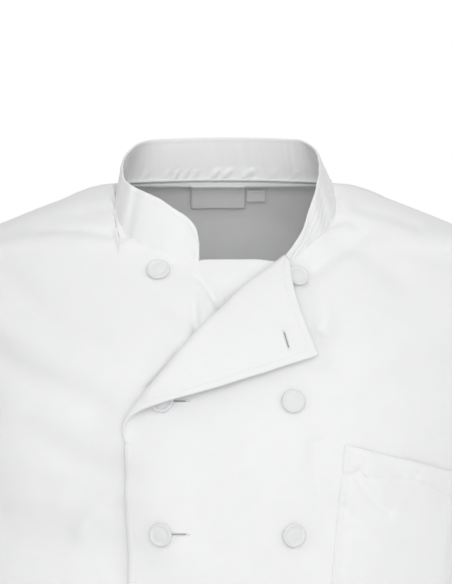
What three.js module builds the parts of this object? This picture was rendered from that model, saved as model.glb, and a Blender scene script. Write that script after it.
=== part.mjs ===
// A double-breasted chef jacket, hollow, filled out as if worn, its top corner unbuttoned and turned back.
// Millimetres. The origin is the middle of the neck, level with the tops of the shoulder seams.
// +Z is up, the front faces -Y, and +X is the wearer's left.
import * as THREE from "three";

// Driving sizes.
const CLOTH = 1.2; // wall of one panel of cloth
const COLLAR_CLOTH = 1.8; // two layers and interlining
const FACING_CLOTH = 1; // facing, pocket, tape and labels
const SEAM_GAP = 0.4; // between two pieces at a seam
const COLLAR_CLEAR = 1.6; // from the middle of a panel's wall up to the collar's lower edge
const LAYER_GAP = 0.35; // between a panel and what lies on it
const OVERLAP_LIFT = 2.8; // the over front lies this far outside the under front
const HEM_Z = -748;
const ARMPIT_Z = -240;
const SHOULDER_Z = -54;
const FRONT_EDGE_X = 81.5; // half the double-breasted overlap
const BUTTON_RADIUS = 9.7;
const BUTTON_ROWS = 5;
const BUTTON_PITCH = 107;
const FIRST_BUTTONS = { right: { x: -55, z: -74.5 }, left: { x: 57.5, z: -79.5 } };
const SECOND_BUTTONS = { right: { x: -51.5, z: -179 }, left: { x: 54, z: -179.5 } };
const CUFF_RADIUS = 49;
const SLEEVE_RADIUS = 70;
const SLEEVE_BELOW_CAP = 418; // from the end of its cap to the cuff

// The body as level sections: half width, and how far forward the front, side and back lie.
// squareness is the power of the superellipse: 2 is an ellipse.
const SECTIONS = [
  { z: -760, half: 231, front: -158, side: -12, back: 138, squareness: 2.35 },
  { z: -600, half: 224, front: -154, side: -14, back: 130, squareness: 2.35 },
  { z: -430, half: 217, front: -154, side: -16, back: 120, squareness: 2.3 },
  { z: -240, half: 222, front: -164, side: -12, back: 134, squareness: 2.25 },
  { z: -150, half: 229, front: -150, side: -5, back: 131, squareness: 2.15 },
  { z: -100, half: 234, front: -127, side: 0, back: 120, squareness: 2.05 },
  { z: -70, half: 236, front: -105, side: 2, back: 110, squareness: 2 },
  { z: -54, half: 235, front: -92, side: 4, back: 104, squareness: 2 },
  { z: -32.5, half: 185, front: -77, side: 4, back: 94, squareness: 2 },
  { z: -14.3, half: 139, front: -62, side: 4, back: 82, squareness: 2 },
  { z: -1.4, half: 104, front: -46, side: 4, back: 70, squareness: 2 },
  { z: 0, half: 88, front: -38, side: 4, back: 64, squareness: 2 },
];

// Soft folds on the body: a trough (depth below 0) or ridge along a line seen from the front or the back.
const BODY_FOLDS = [
  { face: "front", x1: -185, z1: -95, x2: -105, z2: -185, width: 26, depth: -3.5 },
  { face: "front", x1: -160, z1: -290, x2: -95, z2: -225, width: 34, depth: -5 },
  { face: "front", x1: -190, z1: -330, x2: -110, z2: -470, width: 30, depth: 4 },
  { face: "front", x1: -118, z1: -22, x2: -90, z2: -48, width: 9, depth: -2.4 },
  { face: "front", x1: -40, z1: -66, x2: -5, z2: -104, width: 9, depth: -3 },
  { face: "front", x1: 40, z1: -66, x2: 5, z2: -90, width: 11, depth: -2.5 },
  { face: "front", x1: 84, z1: -42, x2: 140, z2: -74, width: 12, depth: -3 },
  { face: "front", x1: 205, z1: -400, x2: 110, z2: -480, width: 30, depth: -4.5 },
  { face: "front", x1: 150, z1: -560, x2: 175, z2: -748, width: 30, depth: 5 },
  { face: "front", x1: -150, z1: -540, x2: -165, z2: -748, width: 32, depth: 5 },
  { face: "front", x1: 0, z1: -600, x2: 20, z2: -748, width: 34, depth: -4 },
  { face: "back", x1: -150, z1: -170, x2: -80, z2: -330, width: 28, depth: 4.5 },
  { face: "back", x1: 150, z1: -180, x2: 90, z2: -350, width: 30, depth: 4.5 },
  { face: "back", x1: -175, z1: -400, x2: -60, z2: -440, width: 26, depth: -4.5 },
  { face: "back", x1: 170, z1: -390, x2: 50, z2: -452, width: 26, depth: -4 },
  { face: "back", x1: -110, z1: -520, x2: -130, z2: -748, width: 34, depth: 5.5 },
  { face: "back", x1: 95, z1: -540, x2: 120, z2: -748, width: 32, depth: 5 },
  { face: "back", x1: 0, z1: -560, x2: -10, z2: -748, width: 34, depth: -4 },
];

// The neckline seen from the front, from the top of each shoulder seam to the collar's end.
const NECKLINE_RIGHT = [
  { x: -88, z: 0 },
  { x: -91, z: -14 },
  { x: -86, z: -36 },
  { x: -70, z: -52 },
  { x: -47, z: -59.5 },
  { x: -22.5, z: -64.8 },
];
const NECKLINE_LEFT = [
  { x: 88, z: 0 },
  { x: 91, z: -14 },
  { x: 89, z: -29 },
  { x: 80, z: -44 },
  { x: 66, z: -57 },
  { x: 49.9, z: -69.1 },
];
// The under front's top edge goes on past the collar's end to its free corner.
const UNDER_CORNER = { x: 66, z: -64.2 };
const UNDER_EDGE_MIDDLE = { x: 80, z: -150 };
const BACK_NECK_Z = 5;

// The line on which the over front's top corner turns back, from its front edge up to the collar.
const FOLD_LINE = [
  { x: -81, z: -213 },
  { x: -76, z: -196.5 },
  { x: -69.3, z: -187.6 },
  { x: -57.4, z: -174.6 },
  { x: -33.3, z: -145.6 },
  { x: -9.6, z: -119.2 },
  { x: 16.6, z: -93.4 },
  { x: 49.9, z: -69.1 },
];
// The turned-back corner laid flat: how far along the fold line, and how far beyond it. Its free
// edge goes from the fold line's lower end to the corner, and from there to the collar.
const FLAP_CORNER = { along: 171.5, beyond: 85.4 };
const FLAP_TOP = { along: 196.1, beyond: 15.7 };
const FLAP_SIDE_HOLLOW = 3.2; // how far its side to the collar curves in
const FLAP_EDGE = [
  { along: 0, beyond: 0 },
  { along: 14, beyond: 7.5 },
  { along: 28.7, beyond: 15.6 },
  { along: 47, beyond: 28 },
  { along: 70.2, beyond: 43.9 },
  { along: 84.5, beyond: 52.5 },
  { along: 99.1, beyond: 60 },
  { along: 130.5, beyond: 73.4 },
  { along: 149.3, beyond: 80.2 },
  { along: 171.5, beyond: 85.4 },
];
const ROLL_RADII = [
  { along: 0, radius: 2.2 },
  { along: 25, radius: 4.2 },
  { along: 50, radius: 5.2 },
  { along: 90, radius: 4.8 },
  { along: 140, radius: 3.6 },
  { along: 172, radius: 3.4 },
  { along: 195, radius: 3.9 },
  { along: 220, radius: 3.9 },
];

// The collar's top edge seen from the front, by its share of the way along the neckline from the
// collar's right end round the back to its left end. forward is how far it leans out of the seam.
const COLLAR_EDGE = [
  { share: 0, x: -22.3, z: -52.5, forward: 1 },
  { share: 0.014, x: -24.3, z: -41, forward: 2 },
  { share: 0.03, x: -30.8, z: -31.4, forward: 3 },
  { share: 0.054, x: -42.8, z: -23.2, forward: 5 },
  { share: 0.08, x: -54.7, z: -15.2, forward: 7 },
  { share: 0.108, x: -66.5, z: -9.6, forward: 10 },
  { share: 0.14, x: -77.5, z: -4, forward: 13 },
  { share: 0.176, x: -84.5, z: 3, forward: 14 },
  { share: 0.221, x: -86, z: 13, forward: 11 },
  { share: 0.265, x: -84.3, z: 21, forward: 9.5 },
  { share: 0.31, x: -78.8, z: 29, forward: 8 },
  { share: 0.361, x: -72, z: 34.7, forward: 6 },
  { share: 0.411, x: -60, z: 37.6, forward: 5 },
  { share: 0.529, x: 0, z: 39.7, forward: 5 },
  { share: 0.647, x: 60, z: 37.7, forward: 5 },
  { share: 0.696, x: 70, z: 33, forward: 5 },
  { share: 0.748, x: 76, z: 25.3, forward: 6 },
  { share: 0.824, x: 77.5, z: 13, forward: 9 },
  { share: 0.86, x: 76.5, z: 4, forward: 13 },
  { share: 0.892, x: 74.5, z: -5, forward: 14 },
  { share: 0.92, x: 71.5, z: -15, forward: 10 },
  { share: 0.945, x: 67.5, z: -27, forward: 5 },
  { share: 0.966, x: 63.3, z: -39.5, forward: 3 },
  { share: 0.984, x: 57, z: -51, forward: 2 },
  { share: 1, x: 48.8, z: -61.5, forward: 1 },
];

// Steps of the grids.
const OVER_COLUMNS = 12;
const UNDER_COLUMNS = { shoulder: 6, neck: 7, topEdge: 3 };
const BACK_COLUMNS = { shoulder: 6, neck: 12 };
const UPPER_ROWS = 16;
const FOLD_ROWS = 10; // of the upper rows, those that end at the fold line, not at the neckline
const LOWER_ROWS = 11;
const ROWS_CLOSER_ABOVE = 1.4;
const FLAP_COLUMNS = 13;
const FACING_FROM = 2; // the facing begins on the roll, at this column of the flap
const SLEEVE_SIDES = 2 * UPPER_ROWS; // so that it meets the panels point for point
const SLEEVE_CLOSER_ON_TOP = 1; // by this much nearer to the panels than at the armpit
const CAP_RINGS = 5;
const SLEEVE_RINGS = 9;
const COLLAR_RISES = [0, 0.12, 0.4, 0.7, 1]; // shares of the collar's height
const BISECTIONS = 40;
const LEVEL_STEPS = 120; // to measure the cloth round a level

const RIGHT_ANGLE = Math.PI / 2;
const { degToRad, radToDeg, clamp, lerp: mix } = THREE.MathUtils;

// The middle of the chest, from which a point is put onto the body. It moves across with it.
const HEART = { across: 0.55, y: 4, z: -170, nearest: 0.4, farthest: 1.6 };

// One column of a table at a place between its rows, as a smooth curve that never overshoots.
function along(table, key, place, column) {
  const last = table.length - 1;
  if (place <= table[0][key]) return table[0][column];
  if (place >= table[last][key]) return table[last][column];
  const step = (i) => table[i + 1][key] - table[i][key];
  const rise = (i) => (table[i + 1][column] - table[i][column]) / step(i);
  const slope = (i) => {
    if (i === 0) return rise(0);
    if (i === last) return rise(last - 1);
    const [a, b] = [rise(i - 1), rise(i)];
    return a * b <= 0 ? 0 : (2 * a * b) / (a + b);
  };
  let i = 0;
  while (table[i + 1][key] < place) i++;
  const h = step(i);
  const t = (place - table[i][key]) / h;
  const [t2, t3] = [t * t, t * t * t];
  return (
    (2 * t3 - 3 * t2 + 1) * table[i][column] +
    (t3 - 2 * t2 + t) * h * slope(i) +
    (3 * t2 - 2 * t3) * table[i + 1][column] +
    (t3 - t2) * h * slope(i + 1)
  );
}

function smooth(from, to, value) {
  const t = clamp((value - from) / (to - from), 0, 1);
  return t * t * (3 - 2 * t);
}

function section(z) {
  const at = (column) => along(SECTIONS, "z", z, column);
  const side = at("side");
  return {
    half: at("half"),
    side,
    forward: side - at("front"),
    rearward: at("back") - side,
    power: at("squareness"),
  };
}

// A point of the smooth body. The angle is 0 at the middle of the front, 90 degrees at the
// wearer's left side and 180 at the middle of the back.
function formPoint(angle, z) {
  const s = section(z);
  const depth = Math.cos(angle) > 0 ? s.forward : s.rearward;
  const across = Math.abs(Math.sin(angle) / s.half) ** s.power;
  const inwards = Math.abs(Math.cos(angle) / depth) ** s.power;
  const radius = (across + inwards) ** (-1 / s.power);
  return new THREE.Vector3(radius * Math.sin(angle), s.side - radius * Math.cos(angle), z);
}

// The angle at which the front (or back) of the body has a given x.
function angleAt(x, z, face = "front") {
  const s = section(z);
  const depth = face === "front" ? s.forward : s.rearward;
  const share = Math.min(1, Math.abs(x) / s.half);
  const forward = depth * (1 - share ** s.power) ** (1 / s.power);
  const angle = Math.atan2(x, forward);
  return face === "front" ? angle : Math.sign(x || 1) * Math.PI - angle;
}

// The folds fade out where the body turns sideways: facing is the y of its normal.
const FOLDS_FADE = { from: 0.1, to: 0.6 };

function foldDepth(point, facing) {
  let depth = 0;
  for (const f of BODY_FOLDS) {
    const weight = smooth(FOLDS_FADE.from, FOLDS_FADE.to, f.face === "front" ? -facing : facing);
    if (weight === 0) continue;
    const [dx, dz] = [f.x2 - f.x1, f.z2 - f.z1];
    const t = ((point.x - f.x1) * dx + (point.z - f.z1) * dz) / (dx * dx + dz * dz);
    const s = clamp(t, 0, 1);
    const away = Math.hypot(point.x - f.x1 - s * dx, point.z - f.z1 - s * dz);
    depth += weight * f.depth * Math.exp(-((away / f.width) ** 2));
  }
  return depth;
}

const ANGLE_STEP = 0.02;
const HEIGHT_STEP = 1;

function bodyNormal(angle, z) {
  const low = Math.min(z, -HEIGHT_STEP);
  const acrossways = formPoint(angle + ANGLE_STEP, low).sub(formPoint(angle - ANGLE_STEP, low));
  const upwards = formPoint(angle, low + HEIGHT_STEP).sub(formPoint(angle, low - HEIGHT_STEP));
  return acrossways.cross(upwards).normalize();
}

// A point of the body with its folds, moved out by lift.
function onBody(angle, z, lift = 0) {
  const point = formPoint(angle, z);
  const normal = bodyNormal(angle, z);
  return point.addScaledVector(normal, foldDepth(point, normal.y) + lift);
}

// The over front lies outside the under front where the two overlap, and comes down to the body
// between these degrees.
const COMES_DOWN = { from: 38, to: 62 };

function overLift(angle) {
  return OVERLAP_LIFT * (1 - smooth(COMES_DOWN.from, COMES_DOWN.to, radToDeg(angle)));
}

const LINE_DIVISIONS = 400;

// A smooth line through {x, z} points, by share of its length.
function line(points) {
  const curve = new THREE.CatmullRomCurve3(
    points.map((p) => new THREE.Vector3(p.x, 0, p.z)),
    false,
    "centripetal",
  );
  curve.arcLengthDivisions = LINE_DIVISIONS;
  return curve;
}

// The normal at each point of a grid, from the cells round it that there(row, column) has.
function gridNormals(rows, cellsAcross, wrap, there) {
  const normals = rows.map((row) => row.map(() => new THREE.Vector3()));
  for (let r = 0; r < rows.length - 1; r++)
    for (let c = 0; c < cellsAcross; c++) {
      if (!there(r, c)) continue;
      const corners = [[r, c], [r, wrap(c + 1)], [r + 1, wrap(c + 1)], [r + 1, c]];
      const [p, q, s, t] = corners.map(([i, j]) => rows[i][j]);
      const normal = s.clone().sub(p).cross(t.clone().sub(q)).normalize();
      for (const [i, j] of corners) normals[i][j].add(normal);
    }
  for (const row of normals) for (const normal of row) normal.normalize();
  return normals;
}

// A closed wall of cloth on a grid of points, rows[row][column], half on each side of it.
// has(row, column) says which cells there are. A ring grid closes on itself across.
function wall(rows, thickness, { ring = false, has = () => true } = {}) {
  const [height, width] = [rows.length, rows[0].length];
  const cellsAcross = ring ? width : width - 1;
  const wrap = (c) => (ring ? (c + width) % width : c);
  const there = (r, c) =>
    r >= 0 && r < height - 1 && (ring || (c >= 0 && c < cellsAcross)) && has(r, wrap(c));
  const normals = gridNormals(rows, cellsAcross, wrap, there);
  const positions = [];
  const shift = (side) => (r, c) =>
    rows[r][wrap(c)].clone().addScaledVector(normals[r][wrap(c)], side);
  const [outer, inner] = [shift(thickness / 2), shift(-thickness / 2)];
  const triangle = (a, b, c) => positions.push(...a, ...b, ...c);
  const quad = (a, b, c, d) => {
    triangle(a, b, c);
    triangle(a, c, d);
  };
  for (let r = 0; r < height - 1; r++)
    for (let c = 0; c < cellsAcross; c++) {
      if (!there(r, c)) continue;
      const [r2, c2] = [r + 1, c + 1];
      quad(outer(r, c), outer(r, c2), outer(r2, c2), outer(r2, c));
      quad(inner(r, c), inner(r2, c), inner(r2, c2), inner(r, c2));
      if (!there(r - 1, c)) quad(inner(r, c), inner(r, c2), outer(r, c2), outer(r, c));
      if (!there(r2, c)) quad(outer(r2, c), outer(r2, c2), inner(r2, c2), inner(r2, c));
      if (!there(r, c - 1)) quad(outer(r, c), outer(r2, c), inner(r2, c), inner(r, c));
      if (!there(r, c2)) quad(inner(r, c2), inner(r2, c2), outer(r2, c2), outer(r, c2));
    }
  const geometry = new THREE.BufferGeometry();
  geometry.setAttribute("position", new THREE.Float32BufferAttribute(positions, 3));
  geometry.computeVertexNormals();
  return geometry;
}

// The armhole on one side (1 is the wearer's left), as {angle, z}: turn is 0 at the shoulder
// seam, 90 degrees at the front, 180 at the armpit and 270 at the back.
const ARMHOLE_FRONT = 74;
const ARMHOLE_BACK = 76;

function armhole(turn, side) {
  const z = (SHOULDER_Z + ARMPIT_Z) / 2 + ((SHOULDER_Z - ARMPIT_Z) / 2) * Math.cos(turn);
  const s = section(z);
  const inFront = Math.sin(turn) >= 0;
  const reach = Math.abs(Math.sin(turn)) * (inFront ? ARMHOLE_FRONT : ARMHOLE_BACK);
  const depth = inFront ? s.forward : s.rearward;
  const x = s.half * (1 - (reach / depth) ** s.power) ** (1 / s.power);
  const angle = Math.atan2(x, inFront ? reach : -reach);
  return { angle: side * angle, z };
}

// The points {angle, z} of a shoulder seam, share 0 at the armhole and 1 at the neck.
function shoulderSeam(share, side, clear) {
  const half = mix(section(SHOULDER_Z).half, section(0).half, share);
  let [low, high] = [SHOULDER_Z, 0];
  for (let i = 0; i < BISECTIONS; i++) {
    const middle = (low + high) / 2;
    if (section(middle).half > half) low = middle;
    else high = middle;
  }
  return { angle: side * (RIGHT_ANGLE + clear / half), z: low };
}

// How far outside the body a point is: below 0 inside, above 0 outside.
function outside(point) {
  const s = section(point.z);
  const depth = point.y < s.side ? s.forward : s.rearward;
  const across = Math.abs(point.x / s.half) ** s.power;
  return across + Math.abs((point.y - s.side) / depth) ** s.power - 1;
}

// The {angle, z} of the place where a ray from inside the body through a point meets its surface.
function ontoBody(point) {
  const heart = new THREE.Vector3(HEART.across * point.x, HEART.y, HEART.z);
  const ray = point.clone().sub(heart);
  let [near, far] = [HEART.nearest, HEART.farthest];
  for (let i = 0; i < BISECTIONS; i++) {
    const middle = (near + far) / 2;
    if (outside(heart.clone().addScaledVector(ray, middle)) < 0) near = middle;
    else far = middle;
  }
  const place = heart.addScaledVector(ray, near);
  return { angle: Math.atan2(place.x, section(place.z).side - place.y), z: place.z };
}

// A grid of {angle, z} between four edges, each a function of a share from 0 to 1. It is blended
// in space and then put onto the body.
function patch(edges, columns, rows) {
  const inSpace = (edge) => (share) => {
    const p = edge(share);
    return formPoint(p.angle, p.z);
  };
  const [bottom, top] = [edges.bottom, edges.top].map(inSpace);
  const [start, end] = [edges.start, edges.end].map(inSpace);
  const corners = (u, v) => {
    const low = bottom(0).lerp(bottom(1), u);
    return low.lerp(top(0).lerp(top(1), u), v);
  };
  return Array.from({ length: rows + 1 }, (_, r) =>
    Array.from({ length: columns + 1 }, (_, c) => {
      const [u, v] = [c / columns, r / rows];
      if (r === 0) return edges.bottom(u);
      if (r === rows) return edges.top(u);
      if (c === 0) return edges.start(v);
      if (c === columns) return edges.end(v);
      const upwards = bottom(u).lerp(top(u), v);
      const across = start(v).lerp(end(v), u);
      return ontoBody(upwards.add(across).sub(corners(u, v)));
    }),
  );
}

// Rows from the hem up to the level of the armpit, for the same columns as that level's row.
function rowsBelow(armpitRow, hemAngle) {
  return Array.from({ length: LOWER_ROWS }, (_, r) => {
    const share = 1 - (1 - r / LOWER_ROWS) ** ROWS_CLOSER_ABOVE;
    return armpitRow.map((p, c) => ({
      angle: mix(hemAngle(c / (armpitRow.length - 1)), p.angle, share),
      z: mix(HEM_Z, p.z, share),
    }));
  });
}

const onLine = (curve, share) => {
  const p = curve.getPointAt(share);
  return { angle: angleAt(p.x, p.z), z: p.z };
};

// The angle at equal steps of the cloth round a level, from one angle to another.
function evenly(from, to, z) {
  const at = (i) => formPoint(mix(from, to, i / LEVEL_STEPS), z);
  const lengths = [0];
  for (let i = 1; i <= LEVEL_STEPS; i++) lengths.push(lengths[i - 1] + at(i).distanceTo(at(i - 1)));
  return (u) => {
    if (u >= 1) return to;
    const target = u * lengths[LEVEL_STEPS];
    const i = Math.max(0, lengths.findIndex((length) => length > target) - 1);
    const within = (target - lengths[i]) / (lengths[i + 1] - lengths[i]);
    return mix(from, to, (i + within) / LEVEL_STEPS);
  };
}

// The edge angle clear of the side seam.
const sideAngle = (side, clear) => side * (RIGHT_ANGLE + clear / section(ARMPIT_Z).half);

// The armhole's front half, from the armpit up to the shoulder seam.
function armholeFront(side) {
  const clear = SEAM_GAP / 2 / section(ARMPIT_Z).half;
  return (v) => {
    const p = armhole(Math.PI * (1 - v), side);
    return { angle: p.angle - side * clear * (v === 0 || v === 1 ? 1 : 0), z: p.z };
  };
}

// The wearer's right front, which lies underneath: it goes on past the collar's end.
function underFrontGrid() {
  const side = -1;
  const neckline = line(NECKLINE_RIGHT);
  const topEdge = line([NECKLINE_RIGHT[NECKLINE_RIGHT.length - 1], UNDER_CORNER]);
  const { shoulder, neck, topEdge: free } = UNDER_COLUMNS;
  const columns = shoulder + neck + free;
  const seamAngle = sideAngle(side, -SEAM_GAP / 2);
  const atArmpit = evenly(seamAngle, angleAt(FRONT_EDGE_X, ARMPIT_Z), ARMPIT_Z);
  const bottom = (u) => ({ angle: atArmpit(u), z: ARMPIT_Z });
  const top = (u) => {
    const c = u * columns;
    if (c <= shoulder) return shoulderSeam(c / shoulder, side, -SEAM_GAP / 2);
    if (c <= shoulder + neck) return onLine(neckline, (c - shoulder) / neck);
    return onLine(topEdge, (c - shoulder - neck) / free);
  };
  const start = armholeFront(side);
  const edge = line([{ x: FRONT_EDGE_X, z: ARMPIT_Z }, UNDER_EDGE_MIDDLE, UNDER_CORNER]);
  const upper = patch({ bottom, top, start, end: (v) => onLine(edge, v) }, columns, UPPER_ROWS);
  const hemAngle = evenly(seamAngle, angleAt(FRONT_EDGE_X, HEM_Z), HEM_Z);
  return [...rowsBelow(upper[0], hemAngle), ...upper].map((row) =>
    row.map((p) => onBody(p.angle, p.z)),
  );
}

const foldLine = line(FOLD_LINE);
const FOLD_LENGTH = foldLine.getLength();

// A point of the turned-back corner: along the fold line, then that far round its roll and back.
function flapPoint(alongFold, beyond) {
  const share = clamp(alongFold / FOLD_LENGTH, 0, 1);
  const radius = along(ROLL_RADII, "along", alongFold, "radius");
  const place = foldLine.getPointAt(share);
  const direction = foldLine.getTangentAt(share);
  const turn = Math.min(beyond / radius, Math.PI);
  const rest = Math.max(0, beyond - Math.PI * radius);
  const inwards = rest - radius * Math.sin(turn);
  const x = place.x + direction.z * inwards;
  const z = place.z - direction.x * inwards;
  const angle = angleAt(x, z);
  const height = radius * (1 - Math.cos(turn));
  return onBody(angle, z, overLift(angle) + height);
}

const HOLLOW_SCALE = 6.75; // makes the largest value of share * share * (1 - share) one

// A row of the turned-back corner, share 0 at its lower edge and 1 at its top.
function flapRow(share) {
  const hollow = FLAP_SIDE_HOLLOW * HOLLOW_SCALE * share * share * (1 - share);
  const reach = mix(FLAP_CORNER.along, FLAP_TOP.along, share) - hollow;
  const width = mix(FLAP_CORNER.beyond, FLAP_TOP.beyond, share);
  return Array.from({ length: FLAP_COLUMNS }, (_, c) => {
    const s = (c + 1) / FLAP_COLUMNS;
    const edge = along(FLAP_EDGE, "along", s * FLAP_CORNER.along, "beyond") / FLAP_CORNER.beyond;
    return flapPoint(mix(share * FOLD_LENGTH, reach, s), width * mix(edge, s, share));
  });
}

// The cells that the over front's grid has: below the turned-back corner it ends at its edge.
const foldsBack = (r) => r >= LOWER_ROWS && r < LOWER_ROWS + FOLD_ROWS;
const lyingOrTurned = (r, c) => foldsBack(r) || c >= FLAP_COLUMNS;

// The wearer's left front, which lies on top. Its rows end at the front edge, the fold line or the
// neckline, and those at the fold line go on over it as the turned-back corner.
function overFrontGrid() {
  const side = 1;
  const neckline = line(NECKLINE_LEFT);
  const foot = FOLD_LINE[0];
  const seamAngle = sideAngle(side, -SEAM_GAP / 2);
  const atArmpit = evenly(seamAngle, angleAt(foot.x, foot.z), ARMPIT_Z);
  const bottom = (u) => ({ angle: atArmpit(u), z: mix(ARMPIT_Z, foot.z, smooth(0, 1, u)) });
  const top = (u) => shoulderSeam(u, side, -SEAM_GAP / 2);
  const end = (v) => {
    const r = v * UPPER_ROWS;
    if (r >= UPPER_ROWS) return top(1);
    if (r <= FOLD_ROWS) return onLine(foldLine, r / FOLD_ROWS);
    return onLine(neckline, (UPPER_ROWS - r) / (UPPER_ROWS - FOLD_ROWS));
  };
  const upper = patch({ bottom, top, start: armholeFront(side), end }, OVER_COLUMNS, UPPER_ROWS);
  const hemAngle = evenly(seamAngle, angleAt(-FRONT_EDGE_X, HEM_Z), HEM_Z);
  return [...rowsBelow(upper[0], hemAngle), ...upper].map((row, r) => {
    const lyingRow = row.map((p) => onBody(p.angle, p.z, overLift(p.angle)));
    const share = clamp((r - LOWER_ROWS) / FOLD_ROWS, 0, 1);
    return [...lyingRow, ...flapRow(share)].reverse();
  });
}

// The facing that shows on the turned-back corner, from the front's own points.
function facingGrid(front) {
  const layer = (CLOTH + FACING_CLOTH) / 2 + LAYER_GAP;
  const normals = gridNormals(front, front[0].length - 1, (c) => c, lyingOrTurned);
  const last = FLAP_COLUMNS - FACING_FROM;
  return front.slice(LOWER_ROWS, LOWER_ROWS + FOLD_ROWS + 1).map((row, r) =>
    row
      .slice(0, last + 1)
      .map((p, c) => p.clone().addScaledVector(normals[r + LOWER_ROWS][c], -layer)),
  );
}

function backGrid() {
  const { shoulder, neck } = BACK_COLUMNS;
  const columns = 2 * shoulder + neck;
  const rear = (angle) => (angle < 0 ? angle + 2 * Math.PI : angle);
  const left = sideAngle(1, SEAM_GAP / 2);
  const right = rear(sideAngle(-1, SEAM_GAP / 2));
  const atArmpit = evenly(left, right, ARMPIT_Z);
  const bottom = (u) => ({ angle: atArmpit(u), z: ARMPIT_Z });
  const seam = (share, side) => {
    const p = shoulderSeam(share, side, SEAM_GAP / 2);
    return { angle: rear(p.angle), z: p.z };
  };
  const top = (u) => {
    const c = u * columns;
    if (c <= shoulder) return seam(c / shoulder, 1);
    if (c >= shoulder + neck) return seam((columns - c) / shoulder, -1);
    const t = (c - shoulder) / neck;
    const z = BACK_NECK_Z * Math.sqrt(Math.sin(Math.PI * t));
    return { angle: mix(seam(1, 1).angle, seam(1, -1).angle, t), z };
  };
  const armholeBack = (side) => (v) => {
    const p = armhole(Math.PI * (1 + v), side);
    const clear = v === 0 || v === 1 ? SEAM_GAP / 2 / section(p.z).half : 0;
    return { angle: rear(p.angle + side * clear), z: p.z };
  };
  const upper = patch(
    { bottom, top, start: armholeBack(1), end: armholeBack(-1) },
    columns,
    UPPER_ROWS,
  );
  const grid = [...rowsBelow(upper[0], evenly(left, right, HEM_Z)), ...upper];
  return grid.map((row) => row.map((p) => onBody(p.angle, p.z)));
}

// Soft creases across the sleeves: place is the distance below the armpit ring, turn where
// round the sleeve it is deepest.
const SLEEVE_FOLDS = [
  { place: 30, turn: 150, width: 16, depth: -4 },
  { place: 95, turn: 230, width: 18, depth: 3.5 },
  { place: 165, turn: 90, width: 15, depth: -5 },
  { place: 205, turn: 60, width: 14, depth: 3 },
  { place: 240, turn: 100, width: 15, depth: -4 },
  { place: 325, turn: 300, width: 20, depth: -3 },
];

// How a sleeve hangs. Angles in degrees: lean is outwards, and forward is measured above and
// below the elbow, which is between these shares of the sleeve.
const SLEEVE = {
  lean: 12,
  leanBelowElbow: 9.6,
  forward: 2,
  forwardBelowElbow: 15,
  elbow: { from: 0.25, to: 0.7 },
  capOut: 2.5,
  capDrop: 26,
  capBulge: 5,
  depthToWidth: 1.04,
  creaseSlant: 22,
  creaseFade: { from: -0.3, to: 0.9 },
  creasesEnd: 0.88,
};

// The depth of a sleeve's creases at a distance below its cap.
function creaseDepth(place, turn) {
  const { from, to } = SLEEVE.creaseFade;
  let depth = 0;
  for (const f of SLEEVE_FOLDS) {
    const away = turn - degToRad(f.turn);
    const off = (place - f.place - SLEEVE.creaseSlant * Math.sin(away)) / f.width;
    depth += f.depth * smooth(from, to, Math.cos(away)) * Math.exp(-(off ** 2));
  }
  return depth * (1 - smooth(SLEEVE.creasesEnd, 1, place / SLEEVE_BELOW_CAP));
}

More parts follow.
